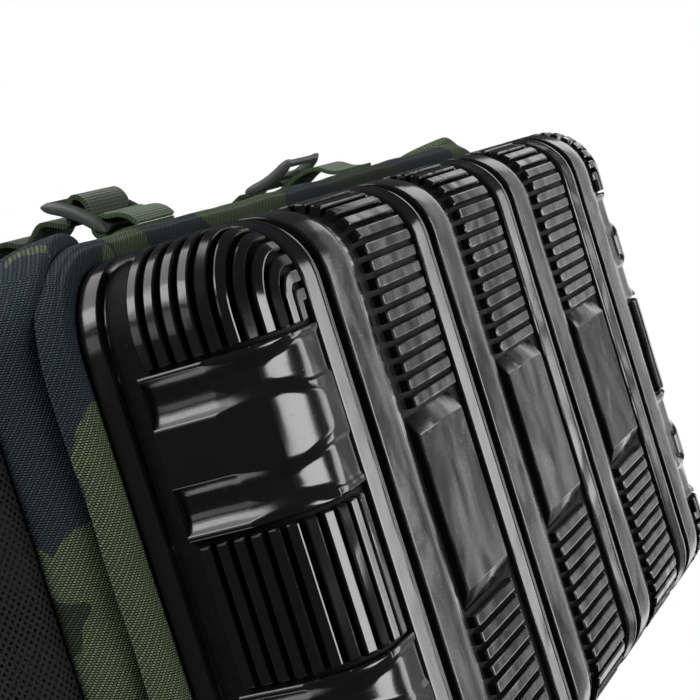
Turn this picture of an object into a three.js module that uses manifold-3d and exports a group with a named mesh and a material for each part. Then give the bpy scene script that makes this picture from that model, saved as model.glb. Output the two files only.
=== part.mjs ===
// Tackle backpack: a camouflage fabric pack built on a moulded hard base.
// Millimetres, +Z up, -Y the pack's front, +Y the side worn against the back.
// The origin is the middle of the base's bottom face, which the pack stands on.

import * as THREE from "three";
import { mergeVertices } from "three/addons/utils/BufferGeometryUtils.js";
import { ConvexGeometry } from "three/addons/geometries/ConvexGeometry.js";
import Module from "manifold-3d";

const wasm = await Module();
wasm.setup();

// ---- Driving dimensions -------------------------------------------------

const GAP = 0.3;
const SIDES = [-1, 1];

// Moulded base: crests are the outermost surface, the shell lies one relief below them
const BASE_HALF_WIDTH = 178.8;
const BASE_HALF_DEPTH = 95.5;
const BASE_HEIGHT = 52;
const RELIEF = 3;
const BASE_WALL = 3;
const PLAN_RADIUS = 23;
const HEEL_RADIUS = 21;
const PATTERN_TOP = 40;
const FLANGE_BOTTOM = 46;
const ARC_STEPS = 4;

// Treads, in columns between the ridges and on the sides
const TREAD_PITCH = 5;
const TREAD_WIDTH = 3.3;
const COLUMN_PITCH = 87.2;
const COLUMN_HALF_LENGTH = 19.3;
const PLATE_HALF_DEPTH = 22.9;
const FIRST_TREAD = 32.15;
const SIDE_ZONE = 152;
const SIDE_RIBS_HALF = 19.05;
const CORNER_RIBS_FROM = 65.7;
const TIGHTEST_CORNER = 9;

// Ridges: a narrow bead, a groove and a wide land, measured from the ridge's middle
const RIDGE_MIDDLES = [-1.5, -0.5, 0.5, 1.5].map((step) => step * COLUMN_PITCH);
const BEAD_SPAN = [-17, -8.4];
const LAND_SPAN = [-2.4, 19.5];

// Half-round scoops in the side walls
const SCOOP_MIDDLES = [28.6, 56.9];
const SCOOP_RADIUS = 6.5;
const SCOOP_OFFSET = 2;

// Fabric body above the base
const BODY_HALF_WIDTH = 179;
const BODY_FRONT = -101;
const BODY_BACK = 93;
const PANEL = 6;
const HEM_TOP = 66.3;
const BODY_TOP = 440;
const SHELF_Z = 252;
const SHELF_THICKNESS = 5;
const DOOR_HALF_WIDTH = 149.5;
const DOOR_TOP = 249.5;
const DOOR_CLEARANCE = 0.5;
const LID_THICKNESS = 15;

// Webbing and its hardware
const WEBBING_WIDTH = 25;
const WEBBING = 1.8;
const LASH_X = 86;

// ---- Solids -------------------------------------------------------------

function signedVolume(positions, triangles) {
  const corner = (index) => new THREE.Vector3().fromArray(positions, 3 * index);
  let total = 0;
  for (let i = 0; i < triangles.length; i += 3) {
    const [a, b, c] = [corner(triangles[i]), corner(triangles[i + 1]), corner(triangles[i + 2])];
    total += a.dot(b.cross(c)) / 6;
  }
  return total;
}

// A closed geometry as a solid whose faces point out
function solid(geometry) {
  const bare = geometry.clone();
  bare.deleteAttribute("normal");
  bare.deleteAttribute("uv");
  const merged = mergeVertices(bare);
  const vertProperties = merged.attributes.position.array;
  const triVerts = new Uint32Array(merged.index.array);
  if (signedVolume(vertProperties, triVerts) < 0) {
    triVerts.reverse();
  }
  return new wasm.Manifold(new wasm.Mesh({ numProp: 3, vertProperties, triVerts }));
}

function joined(solids) {
  return solids.reduce((whole, piece) => whole.add(piece));
}

function geometryOf(manifold) {
  const mesh = manifold.getMesh();
  const geometry = new THREE.BufferGeometry();
  geometry.setAttribute("position", new THREE.BufferAttribute(mesh.vertProperties, 3));
  geometry.setIndex(new THREE.BufferAttribute(mesh.triVerts, 1));
  geometry.computeVertexNormals();
  return geometry;
}

function block([x0, x1], [y0, y1], [z0, z1]) {
  const geometry = new THREE.BoxGeometry(x1 - x0, y1 - y0, z1 - z0);
  return geometry.translate((x0 + x1) / 2, (y0 + y1) / 2, (z0 + z1) / 2);
}

// The same span on the left or the right side
function mirrored([near, far], side) {
  return side > 0 ? [near, far] : [-far, -near];
}

function outline(points) {
  return new THREE.Shape(points.map(([x, y]) => new THREE.Vector2(x, y)));
}

function roundedRectangle([x0, x1], [y0, y1], radius) {
  const shape = new THREE.Shape();
  shape.absarc(x1 - radius, y1 - radius, radius, 0, Math.PI / 2);
  shape.absarc(x0 + radius, y1 - radius, radius, Math.PI / 2, Math.PI);
  shape.absarc(x0 + radius, y0 + radius, radius, Math.PI, 1.5 * Math.PI);
  shape.absarc(x1 - radius, y0 + radius, radius, 1.5 * Math.PI, 2 * Math.PI);
  return shape;
}

function extruded(shape, depth, edge = 0) {
  return new THREE.ExtrudeGeometry(shape, {
    depth: depth - 2 * edge,
    curveSegments: 2,
    bevelEnabled: edge > 0,
    bevelSize: edge,
    bevelOffset: -edge,
    bevelThickness: edge,
    bevelSegments: 1,
  }).translate(0, 0, edge);
}

// A plan outline given height, from z0 to z1
function upright(shape, [z0, z1], edge = 0) {
  return extruded(shape, z1 - z0, edge).translate(0, 0, z0);
}

// A side outline (y across, z up) run along X, from x0 to x1
function along([x0, x1], shape, edge = 0) {
  const turn = new THREE.Matrix4().makeBasis(
    new THREE.Vector3(0, 1, 0), new THREE.Vector3(0, 0, 1), new THREE.Vector3(1, 0, 0));
  return extruded(shape, x1 - x0, edge).applyMatrix4(turn).translate(x0, 0, 0);
}

// A front outline (x across, z up) given depth, from y0 to y1
function facing([y0, y1], shape, edge = 0) {
  return extruded(shape, y1 - y0, edge).rotateX(Math.PI / 2).translate(0, y1, 0);
}

// The outline of a strip of even thickness along a smooth line through some points
function strip(points, thickness, steps = 4 * (points.length - 1)) {
  const line = new THREE.SplineCurve(points.map(([x, y]) => new THREE.Vector2(x, y)));
  const near = [];
  const far = [];
  for (let step = 0; step <= steps; step += 1) {
    const point = line.getPoint(step / steps);
    const tangent = line.getTangent(step / steps);
    const offset = new THREE.Vector2(-tangent.y, tangent.x).multiplyScalar(thickness / 2);
    near.push(point.clone().sub(offset));
    far.push(point.clone().add(offset));
  }
  return new THREE.Shape([...near, ...far.reverse()]);
}

// ---- Moulded base -------------------------------------------------------

// A block with round vertical corners and a round heel all the way round its bottom edge
function heeledBlock(inset, top) {
  const plan = PLAN_RADIUS - inset;
  const heel = HEEL_RADIUS - inset;
  const points = [];
  for (let turn = 0; turn < 4 * ARC_STEPS; turn += 1) {
    const quarter = Math.floor(turn / ARC_STEPS);
    for (const angle of [turn, turn + 1].map((step) => (step * Math.PI) / (2 * ARC_STEPS))) {
      const middleX = (quarter === 0 || quarter === 3 ? 1 : -1) * (BASE_HALF_WIDTH - PLAN_RADIUS);
      const middleY = (quarter < 2 ? 1 : -1) * (BASE_HALF_DEPTH - PLAN_RADIUS);
      const place = (radius, z) => points.push(new THREE.Vector3(
        middleX + radius * Math.cos(angle), middleY + radius * Math.sin(angle), z));
      for (let step = 0; step <= ARC_STEPS; step += 1) {
        const rise = (step * Math.PI) / (2 * ARC_STEPS);
        place(plan - heel * (1 - Math.sin(rise)), inset + heel * (1 - Math.cos(rise)));
      }
      place(plan, top);
    }
  }
  return new ConvexGeometry(points);
}

// A tread's cross section at a distance down the wall, round the heel and in along the bottom.
// x is how far out from the base's outer face (negative is in), y is the height.
function treadSection(distance) {
  const wall = PATTERN_TOP - HEEL_RADIUS;
  const heelArc = (HEEL_RADIUS * Math.PI) / 2;
  const turn = Math.min(Math.max((distance - wall) / HEEL_RADIUS, 0), Math.PI / 2);
  const normal = new THREE.Vector2(Math.cos(turn), -Math.sin(turn));
  const middle = new THREE.Vector2(-HEEL_RADIUS, HEEL_RADIUS).addScaledVector(normal, HEEL_RADIUS);
  middle.y += Math.max(wall - distance, 0);
  middle.x -= Math.max(distance - wall - heelArc, 0);
  const tangent = new THREE.Vector2(-normal.y, normal.x);
  const corners = [[-1, 0], [1, 0], [1, -1], [-1, -1]].map(([across, depth]) => middle.clone()
    .addScaledVector(tangent, (across * TREAD_WIDTH) / 2)
    .addScaledVector(normal, depth * (RELIEF + 1)));
  corners.forEach((corner) => corner.setY(Math.max(corner.y, 0)));
  return { corners, inset: -middle.x };
}

// A straight run of one tread on the front or back (side is -1 or 1), from x0 to x1
function frontTread({ corners }, side, span) {
  const shape = outline(corners.map(({ x, y }) => [side * (BASE_HALF_DEPTH + x), y]));
  return solid(along(span, shape));
}

// A straight run of one tread on the left or right, from y0 to y1
function sideTread({ corners }, side, [y0, y1]) {
  const shape = outline(corners.map(({ x, y }) => [side * (BASE_HALF_WIDTH + x), y]));
  return solid(facing([y0, y1], shape));
}

// One tread turning round a vertical corner of the base
function cornerTread({ corners }, sideX, sideY) {
  const loop = [...corners, corners[0]].map(({ x, y }) => new THREE.Vector2(PLAN_RADIUS + x, y));
  const ring = new THREE.LatheGeometry(loop, 4 * (ARC_STEPS - 1)).rotateX(Math.PI / 2);
  const middle = [sideX * (BASE_HALF_WIDTH - PLAN_RADIUS), sideY * (BASE_HALF_DEPTH - PLAN_RADIUS)];
  const quarter = block(mirrored([0, PLAN_RADIUS + 1], sideX), mirrored([0, PLAN_RADIUS + 1], sideY),
    [-1, BASE_HEIGHT]);
  return solid(ring).intersect(solid(quarter)).translate([...middle, 0]);
}

function treads() {
  const columns = [-1, 0, 1].map((step) => step * COLUMN_PITCH);
  const cornerX = BASE_HALF_WIDTH - PLAN_RADIUS;
  const cornerY = BASE_HALF_DEPTH - PLAN_RADIUS;
  const firstDistance = PATTERN_TOP - HEEL_RADIUS + (HEEL_RADIUS * Math.PI) / 2
    + BASE_HALF_DEPTH - FIRST_TREAD - HEEL_RADIUS;
  const pieces = [];
  for (let distance = firstDistance; distance > TREAD_WIDTH; distance -= TREAD_PITCH) {
    const section = treadSection(distance);
    const turnsRound = PLAN_RADIUS - section.inset > TIGHTEST_CORNER;
    const endX = turnsRound ? cornerX : BASE_HALF_WIDTH - section.inset;
    const endY = turnsRound ? cornerY : BASE_HALF_DEPTH - section.inset;
    for (const sideY of SIDES) {
      for (const middle of columns) {
        const span = [middle - COLUMN_HALF_LENGTH, middle + COLUMN_HALF_LENGTH];
        pieces.push(frontTread(section, sideY, span));
      }
    }
    if (section.inset < BASE_HALF_WIDTH - SIDE_ZONE - TREAD_WIDTH) {
      for (const sideX of SIDES) {
        pieces.push(sideTread(section, sideX, [-SIDE_RIBS_HALF, SIDE_RIBS_HALF]));
        for (const sideY of SIDES) {
          pieces.push(frontTread(section, sideY, mirrored([SIDE_ZONE, endX + 0.01], sideX)));
          pieces.push(sideTread(section, sideX, mirrored([CORNER_RIBS_FROM, endY + 0.01], sideY)));
          if (turnsRound) {
            pieces.push(cornerTread(section, sideX, sideY));
          }
        }
      }
    }
  }
  return joined(pieces);
}

// Everything on the base that stands out to the crests without being cut into treads
function crestZones() {
  const acrossDepth = [-BASE_HALF_DEPTH - 1, BASE_HALF_DEPTH + 1];
  const upToPattern = [-1, PATTERN_TOP];
  const ridges = RIDGE_MIDDLES.flatMap((middle) => [BEAD_SPAN, LAND_SPAN].map(([from, to]) => (
    block([middle + from, middle + to], acrossDepth, upToPattern))));
  const plates = [-1, 0, 1].map((step) => block(
    [step * COLUMN_PITCH - COLUMN_HALF_LENGTH, step * COLUMN_PITCH + COLUMN_HALF_LENGTH],
    [-PLATE_HALF_DEPTH, PLATE_HALF_DEPTH], [-1, HEEL_RADIUS / 2]));
  const pads = SIDES.flatMap((sideX) => SIDES.map((sideY) => block(
    mirrored([SIDE_ZONE, BASE_HALF_WIDTH + 1], sideX),
    mirrored([SIDE_RIBS_HALF + 1.5, CORNER_RIBS_FROM - 1.5], sideY), upToPattern)));
  const flange = block([-BASE_HALF_WIDTH - 1, BASE_HALF_WIDTH + 1], acrossDepth,
    [FLANGE_BOTTOM, BASE_HEIGHT]);
  return joined([...ridges, ...plates, ...pads, flange].map(solid));
}

// A half-round channel down each side wall, which runs out round the heel
function scoops() {
  const cutters = [];
  for (const sideX of SIDES) {
    for (const y of SIDES.flatMap((side) => SCOOP_MIDDLES.map((middle) => side * middle))) {
      const shaft = new THREE.CylinderGeometry(SCOOP_RADIUS, SCOOP_RADIUS, PATTERN_TOP, 12);
      shaft.rotateX(Math.PI / 2);
      const lower = shaft.clone();
      shaft.translate(sideX * (BASE_HALF_WIDTH + SCOOP_OFFSET), y, PATTERN_TOP / 2 + HEEL_RADIUS / 2);
      lower.rotateY((-sideX * Math.PI) / 4);
      const reach = (HEEL_RADIUS + SCOOP_OFFSET) / Math.SQRT2;
      lower.translate(sideX * (BASE_HALF_WIDTH - HEEL_RADIUS + reach), y, HEEL_RADIUS - reach);
      cutters.push(solid(shaft), solid(lower));
    }
  }
  const top = solid(block([-BASE_HALF_WIDTH - 20, BASE_HALF_WIDTH + 20],
    [-BASE_HALF_DEPTH, BASE_HALF_DEPTH], [-30, PATTERN_TOP - 0.5]));
  return joined(cutters).intersect(top);
}

function baseTray() {
  const crests = solid(heeledBlock(0, BASE_HEIGHT));
  const shell = solid(heeledBlock(RELIEF, BASE_HEIGHT));
  const inside = solid(heeledBlock(RELIEF + BASE_WALL, BASE_HEIGHT + 1));
  const raised = crests.intersect(crestZones());
  return geometryOf(joined([shell, raised, treads()]).subtract(scoops()).subtract(inside));
}

const FLOOR_Z = RELIEF + BASE_WALL + GAP;

function floorBoard() {
  const halfWidth = BASE_HALF_WIDTH - HEEL_RADIUS - 3;
  const halfDepth = BASE_HALF_DEPTH - HEEL_RADIUS - 3;
  return upright(roundedRectangle([-halfWidth, halfWidth], [-halfDepth, halfDepth], 6),
    [FLOOR_Z, FLOOR_Z + 4]);
}

// ---- Fabric body --------------------------------------------------------

// The padded hem sewn round the base's rim
function hemRoll() {
  const shape = roundedRectangle([-BODY_HALF_WIDTH - 7, BODY_HALF_WIDTH + 7],
    [BODY_FRONT - 3, BODY_BACK + 6], 26);
  const inner = BODY_HALF_WIDTH - PANEL - 2;
  shape.holes.push(roundedRectangle([-inner, inner], [BODY_FRONT + 11, BODY_BACK - 10], 14));
  return upright(shape, [BASE_HEIGHT + GAP, HEM_TOP], 3);
}

const PANEL_BOTTOM = HEM_TOP + GAP;
const FULL_WIDTH = [-BODY_HALF_WIDTH, BODY_HALF_WIDTH];
const FRONT_PANEL_SPAN = [BODY_FRONT, BODY_FRONT + PANEL];
const BACK_PANEL_SPAN = [BODY_BACK - PANEL, BODY_BACK];
const INNER_DEPTH = [BODY_FRONT + PANEL + GAP, BODY_BACK - PANEL - GAP];

function backPanel() {
  return block(FULL_WIDTH, BACK_PANEL_SPAN, [PANEL_BOTTOM, BODY_TOP]);
}

function sidePanel(side) {
  const span = mirrored([BODY_HALF_WIDTH - PANEL, BODY_HALF_WIDTH], side);
  return block(span, INNER_DEPTH, [PANEL_BOTTOM, BODY_TOP]);
}

// The front, cut away below for the door
function frontPanel() {
  const opening = DOOR_HALF_WIDTH + DOOR_CLEARANCE;
  const shape = outline([
    [-BODY_HALF_WIDTH, PANEL_BOTTOM], [-opening, PANEL_BOTTOM],
    [-opening, DOOR_TOP + DOOR_CLEARANCE], [opening, DOOR_TOP + DOOR_CLEARANCE],
    [opening, PANEL_BOTTOM], [BODY_HALF_WIDTH, PANEL_BOTTOM],
    [BODY_HALF_WIDTH, BODY_TOP], [-BODY_HALF_WIDTH, BODY_TOP],
  ]);
  return facing(FRONT_PANEL_SPAN, shape);
}

function dividerShelf() {
  const halfWidth = BODY_HALF_WIDTH - PANEL - GAP;
  return block([-halfWidth, halfWidth], INNER_DEPTH, [SHELF_Z, SHELF_Z + SHELF_THICKNESS]);
}

const DOOR_BOTTOM = PANEL_BOTTOM + 0.6;

function frontDoor() {
  return block([-DOOR_HALF_WIDTH, DOOR_HALF_WIDTH], FRONT_PANEL_SPAN, [DOOR_BOTTOM, DOOR_TOP]);
}

const BAND_TOP = 81;
const POCKET_TOP = 220;
const BINDING_TOP = 232;
const POCKET_OUT = [BODY_HALF_WIDTH + GAP, BODY_HALF_WIDTH + 14];
const POCKET_DEPTH = [-80, 75];
const MESH = 2;

// The fabric gusset under each side pocket
function sideBand(side) {
  const span = mirrored([BODY_HALF_WIDTH + GAP, BODY_HALF_WIDTH + 6], side);
  return block(span, [BODY_FRONT + 9, BODY_BACK - 7], [PANEL_BOTTOM, BAND_TOP]);
}

// An open-topped pouch: three walls standing on a floor, against the side panel
function pouch(side, [bottom, top], wall, hasFloor) {
  const outer = solid(block(mirrored(POCKET_OUT, side), POCKET_DEPTH, [bottom, top]));
  const hollow = block(mirrored([POCKET_OUT[0] - 1, POCKET_OUT[1] - wall], side),
    [POCKET_DEPTH[0] + wall, POCKET_DEPTH[1] - wall], [hasFloor ? bottom + wall : bottom - 1, top + 1]);
  return geometryOf(outer.subtract(solid(hollow)));
}

const TRACK_TOP = BODY_TOP + 3;
const LID_BOTTOM = TRACK_TOP + GAP;

function lid() {
  const shape = roundedRectangle([-BODY_HALF_WIDTH - 2, BODY_HALF_WIDTH + 2],
    [BODY_FRONT - 2, BODY_BACK - 0.5], 24);
  return upright(shape, [LID_BOTTOM, LID_BOTTOM + LID_THICKNESS], 5);
}

// The zip's tape and teeth round the mouth of the upper compartment
function lidZipTrack() {
  const shape = outline([
    [-BODY_HALF_WIDTH, BODY_BACK - PANEL], [-BODY_HALF_WIDTH, BODY_FRONT],
    [BODY_HALF_WIDTH, BODY_FRONT], [BODY_HALF_WIDTH, BODY_BACK - PANEL],
    [BODY_HALF_WIDTH - 4, BODY_BACK - PANEL], [BODY_HALF_WIDTH - 4, BODY_FRONT + 4],
    [-BODY_HALF_WIDTH + 4, BODY_FRONT + 4], [-BODY_HALF_WIDTH + 4, BODY_BACK - PANEL],
  ]);
  return upright(shape, [BODY_TOP + GAP, TRACK_TOP]);
}

const DOOR_TAPE_OUT = [BODY_FRONT - 2, BODY_FRONT - GAP];

// The zip's tape on the door: up both sides and across the top
function doorZipTape() {
  const outer = DOOR_HALF_WIDTH - 2;
  const inner = outer - 10;
  const shape = outline([
    [-outer, DOOR_BOTTOM + 12], [-inner, DOOR_BOTTOM + 12], [-inner, DOOR_TOP - 12],
    [inner, DOOR_TOP - 12], [inner, DOOR_BOTTOM + 12], [outer, DOOR_BOTTOM + 12],
    [outer, DOOR_TOP - 2], [-outer, DOOR_TOP - 2],
  ]);
  return facing(DOOR_TAPE_OUT, shape);
}

// ---- Zip sliders and pulls ----------------------------------------------

const SLIDER_SIZE = { width: 9, height: 10, out: 4 };
const SLIDER_X = 9;
const PULL_LENGTH = 26;
const LID_SLIDER = { front: BODY_FRONT - 2.6, z: TRACK_TOP };
const DOOR_SLIDER = { front: BODY_FRONT - 2.4, z: DOOR_TOP - 7 };

// A slider's body, with a bar below it for the pull
function zipSlider(side, { front, z }) {
  const { width, height, out } = SLIDER_SIZE;
  const x = side * SLIDER_X;
  const shape = outline([
    [x - width / 2, z - height / 2], [x + width / 2, z - height / 2],
    [x + width / 3, z + height / 2], [x - width / 3, z + height / 2],
  ]);
  return facing([front - out, front], shape);
}

function pullHinge(side, { front, z }) {
  return [side * SLIDER_X, front - SLIDER_SIZE.out - 1.4, z - 2];
}

function zipPull(side, slider) {
  const [x, y, top] = pullHinge(side, slider);
  const shape = roundedRectangle([x - 3, x + 3], [top - PULL_LENGTH, top], 2.4);
  return facing([y - 0.9, y + 0.9], shape);
}

// ---- Lash straps on the door --------------------------------------------

const DOOR_FACE = BODY_FRONT - GAP;
const LADDER = { width: 31, length: 22, thickness: 2.6, slot: 3.6, bar: 3.4 };
const LASH_HINGE = { left: [-LASH_X, -104.6, 79], right: [LASH_X, -106.8, 112] };
const LASH_TILT = { left: -0.6, right: Math.PI + 0.3 };

// A ladder-lock: a frame with two webbing slots, standing up from its lower bar
function ladderLock([x, y, z], tilt) {
  const half = LADDER.width / 2;
  const shape = roundedRectangle([-half, half], [0, LADDER.length], 3);
  const slotHalf = WEBBING_WIDTH / 2 + 0.6;
  const slotRise = LADDER.slot + 1.6;
  for (const bottom of [LADDER.bar, LADDER.length - LADDER.bar - slotRise]) {
    shape.holes.push(outline([
      [-slotHalf, bottom], [slotHalf, bottom],
      [slotHalf, bottom + slotRise], [-slotHalf, bottom + slotRise],
    ]));
  }
  return facing([-LADDER.thickness / 2, LADDER.thickness / 2], shape).rotateX(-tilt).translate(x, y, z);
}

const WEBBING_OUT = DOOR_FACE - WEBBING / 2;

// The short end sewn to the door's lower edge, which holds the ladder-lock
function lashAnchor(name, x) {
  const paths = {
    left: [[WEBBING_OUT, DOOR_BOTTOM + 5], [WEBBING_OUT - 0.4, DOOR_BOTTOM + 8]],
    right: [[WEBBING_OUT, DOOR_BOTTOM + 5], [WEBBING_OUT - 0.3, 76], [WEBBING_OUT - 5, 83],
      [WEBBING_OUT - 4, 91], [WEBBING_OUT - 0.3, 98], [WEBBING_OUT, 106]],
  };
  return along([x - WEBBING_WIDTH / 2, x + WEBBING_WIDTH / 2], strip(paths[name], WEBBING));
}

// The long end, slack above the ladder-lock and sewn near the door's top
function lashStrap(name, x) {
  const paths = {
    left: [[WEBBING_OUT - 9, 104], [WEBBING_OUT - 2, 112], [WEBBING_OUT - 4, 124],
      [WEBBING_OUT, 138], [WEBBING_OUT - 2.5, 156], [WEBBING_OUT, 176], [WEBBING_OUT, 230]],
    right: [[WEBBING_OUT - 4, 116], [WEBBING_OUT - 0.6, 124], [WEBBING_OUT - 2.5, 140],
      [WEBBING_OUT, 158], [WEBBING_OUT, 230]],
  };
  return along([x - WEBBING_WIDTH / 2, x + WEBBING_WIDTH / 2], strip(paths[name], WEBBING));
}

// ---- Carrying side ------------------------------------------------------

const PAD_FACE = BODY_BACK + GAP;
const PAD_DEPTH = 12;
const STRAP_WIDTH = 58;
const STRAP_THICKNESS = 11;
const STRAP_PATH = [[84, 107, 414], [85, 136, 407], [94, 161, 368], [107, 173, 310],
  [120, 167, 246], [130, 148, 196], [137, 130, 166]];
const LOWER_PATH = [[141, 116, 137], [144, 107, 121], [147, 99, 103], [150, 95.4, 82]];
const STRAP_ROOT_TOP = 432;

function backPad(side) {
  const shape = roundedRectangle(mirrored([18, 112], side), [206, 372], 18);
  return facing([PAD_FACE, PAD_FACE + PAD_DEPTH], shape, 4);
}

function lumbarPad() {
  const shape = roundedRectangle([-118, 118], [88, 192], 22);
  return facing([PAD_FACE, PAD_FACE + PAD_DEPTH], shape, 4);
}

function curveOf(points, side) {
  return new THREE.CatmullRomCurve3(points.map(([x, y, z]) => new THREE.Vector3(side * x, y, z)));
}

// A flat strip swept along a curve, its width across the body
function sweep(points, width, thickness, side, steps) {
  const shape = outline([
    [-width / 2, -thickness / 2], [width / 2, -thickness / 2],
    [width / 2, thickness / 2], [-width / 2, thickness / 2],
  ]);
  const options = { steps, extrudePath: curveOf(points, side), bevelEnabled: false };
  return new THREE.ExtrudeGeometry(shape, options);
}

// A padded shoulder strap with its sewn root on the back panel
function shoulderStrap(side) {
  const [rootX, , rootZ] = STRAP_PATH[0];
  const root = block(mirrored([rootX - STRAP_WIDTH / 2, rootX + STRAP_WIDTH / 2], side),
    [PAD_FACE, PAD_FACE + 15], [rootZ - STRAP_THICKNESS, STRAP_ROOT_TOP]);
  const strap = sweep(STRAP_PATH, STRAP_WIDTH, STRAP_THICKNESS, side, 14);
  return geometryOf(solid(strap).add(solid(root)));
}

function shoulderWebbing(side) {
  return sweep(LOWER_PATH, WEBBING_WIDTH, 2, side, 8);
}

const STRAP_LOCK = { hinge: [138.5, 127, 160.5], tilt: Math.PI + 0.526 };

// The haul handle: a U of webbing that hangs between the shoulder straps
const HANDLE = { halfWidth: 50, leg: 14, drop: 55, hinge: [0, PAD_FACE + 3, 430], thickness: 4 };

function haulHandle() {
  const { halfWidth, leg, drop, hinge, thickness } = HANDLE;
  const [, y, top] = hinge;
  const inner = halfWidth - leg;
  const shape = outline([
    [-halfWidth, top], [-halfWidth, top - drop + leg], [-inner, top - drop], [inner, top - drop],
    [halfWidth, top - drop + leg], [halfWidth, top], [inner, top], [inner, top - drop + 2 * leg],
    [inner - leg, top - drop + leg], [leg - inner, top - drop + leg],
    [-inner, top - drop + 2 * leg], [-inner, top],
  ]);
  return facing([y - thickness / 2, y + thickness / 2], shape);
}

const D_RING = { outer: 12, wire: 1.6, along: 0.5, standOff: 5.2 };

// Where a D-ring hangs: just off the outer face of a shoulder strap
function dRingHinge(side) {
  const curve = curveOf(STRAP_PATH, side);
  const point = curve.getPoint(D_RING.along);
  const tangent = curve.getTangent(D_RING.along);
  const outward = new THREE.Vector3(0, -tangent.z, tangent.y).normalize();
  return point.addScaledVector(outward, STRAP_THICKNESS / 2 + D_RING.standOff);
}

// A ring of wire: a straight bar at the top and a half circle below it
function dRing(side) {
  const { outer, wire } = D_RING;
  const inner = outer - 2 * wire;
  const shape = new THREE.Shape();
  shape.moveTo(outer, wire);
  shape.lineTo(-outer, wire);
  shape.absarc(0, -wire, outer, Math.PI, 2 * Math.PI);
  const hole = new THREE.Path();
  hole.absarc(0, -wire, inner, Math.PI, 2 * Math.PI);
  shape.holes.push(hole);
  return facing([-wire, wire], shape).translate(...dRingHinge(side).toArray());
}

// The webbing tab sewn to the strap above a D-ring
function dRingLoop(side) {
  const { x, y, z } = dRingHinge(side);
  const bottom = z + D_RING.wire * Math.SQRT2 + GAP;
  const shape = outline([[y - 1.6, bottom], [y + 1.2, bottom], [y - 1.2, bottom + 14], [y - 4, bottom + 14]]);
  return along([x - 9, x + 9], shape);
}

// ---- Materials ----------------------------------------------------------

function material(colour, roughness, metalness = 0) {
  return new THREE.MeshStandardMaterial({ color: colour, roughness, metalness });
}

const MATERIALS = {
  mouldedPlastic: material(0x0b0b0c, 0.25),
  camouflage: material(0x4d5f43, 0.85),
  board: material(0x2a2a2a, 0.7),
  mesh: material(0x101112, 0.8),
  binding: material(0x16181a, 0.7),
  airMesh: material(0x17191a, 0.9),
  webbing: material(0x4f5f3f, 0.8),
  hardware: material(0x3a3d3c, 0.45),
  zipTape: material(0x17191a, 0.75),
  zipMetal: material(0x202224, 0.35, 0.8),
  ringMetal: material(0x2a2c2e, 0.3, 0.9),
};

// ---- Assembly -----------------------------------------------------------

const backpack = new THREE.Group();

function add(name, geometry, finish) {
  const mesh = new THREE.Mesh(geometry, finish);
  mesh.name = name;
  backpack.add(mesh);
}

add("base_tray", baseTray(), MATERIALS.mouldedPlastic);
add("floor_board", floorBoard(), MATERIALS.board);
add("hem_roll", hemRoll(), MATERIALS.camouflage);
add("back_panel", backPanel(), MATERIALS.camouflage);
add("front_panel", frontPanel(), MATERIALS.camouflage);
add("divider_shelf", dividerShelf(), MATERIALS.board);
add("front_door", frontDoor(), MATERIALS.camouflage);
add("door_zip_tape", doorZipTape(), MATERIALS.zipTape);
add("lid", lid(), MATERIALS.camouflage);
add("lid_zip_track", lidZipTrack(), MATERIALS.zipTape);
add("lumbar_pad", lumbarPad(), MATERIALS.airMesh);
add("haul_handle", haulHandle(), MATERIALS.webbing);

for (const [name, side] of [["left", -1], ["right", 1]]) {
  add(`side_panel_${name}`, sidePanel(side), MATERIALS.camouflage);
  add(`side_band_${name}`, sideBand(side), MATERIALS.camouflage);
  add(`mesh_pocket_${name}`, pouch(side, [BAND_TOP + GAP, POCKET_TOP], MESH, true), MATERIALS.mesh);
  add(`pocket_binding_${name}`, pouch(side, [POCKET_TOP + GAP, BINDING_TOP], 3, false), MATERIALS.binding);
  add(`lid_zip_slider_${name}`, zipSlider(side, LID_SLIDER), MATERIALS.zipMetal);
  add(`lid_zip_pull_${name}`, zipPull(side, LID_SLIDER), MATERIALS.hardware);
  add(`door_zip_slider_${name}`, zipSlider(side, DOOR_SLIDER), MATERIALS.zipMetal);
  add(`door_zip_pull_${name}`, zipPull(side, DOOR_SLIDER), MATERIALS.hardware);
  add(`lash_anchor_${name}`, lashAnchor(name, side * LASH_X), MATERIALS.webbing);
  add(`lash_strap_${name}`, lashStrap(name, side * LASH_X), MATERIALS.webbing);
  add(`lash_ladder_lock_${name}`, ladderLock(LASH_HINGE[name], LASH_TILT[name]), MATERIALS.hardware);
  add(`back_pad_${name}`, backPad(side), MATERIALS.airMesh);
  add(`shoulder_strap_${name}`, shoulderStrap(side), MATERIALS.camouflage);
  add(`shoulder_webbing_${name}`, shoulderWebbing(side), MATERIALS.webbing);
  const [lockX, lockY, lockZ] = STRAP_LOCK.hinge;
  add(`shoulder_ladder_lock_${name}`, ladderLock([side * lockX, lockY, lockZ], STRAP_LOCK.tilt),
    MATERIALS.hardware);
  add(`d_ring_${name}`, dRing(side), MATERIALS.ringMetal);
  add(`d_ring_loop_${name}`, dRingLoop(side), MATERIALS.webbing);
}

export default backpack;
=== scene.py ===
"""Tackle backpack on a moulded hard base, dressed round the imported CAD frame.

Shapes are worked out in millimetres and turned into metres when a mesh is made.
Left is -X, the front is -Y, and the pack stands on z = 0.
"""

import functools
import math
from math import cos, pi, sin

import bmesh
import bpy
import numpy as np
from mathutils import Matrix, Vector, noise


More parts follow.
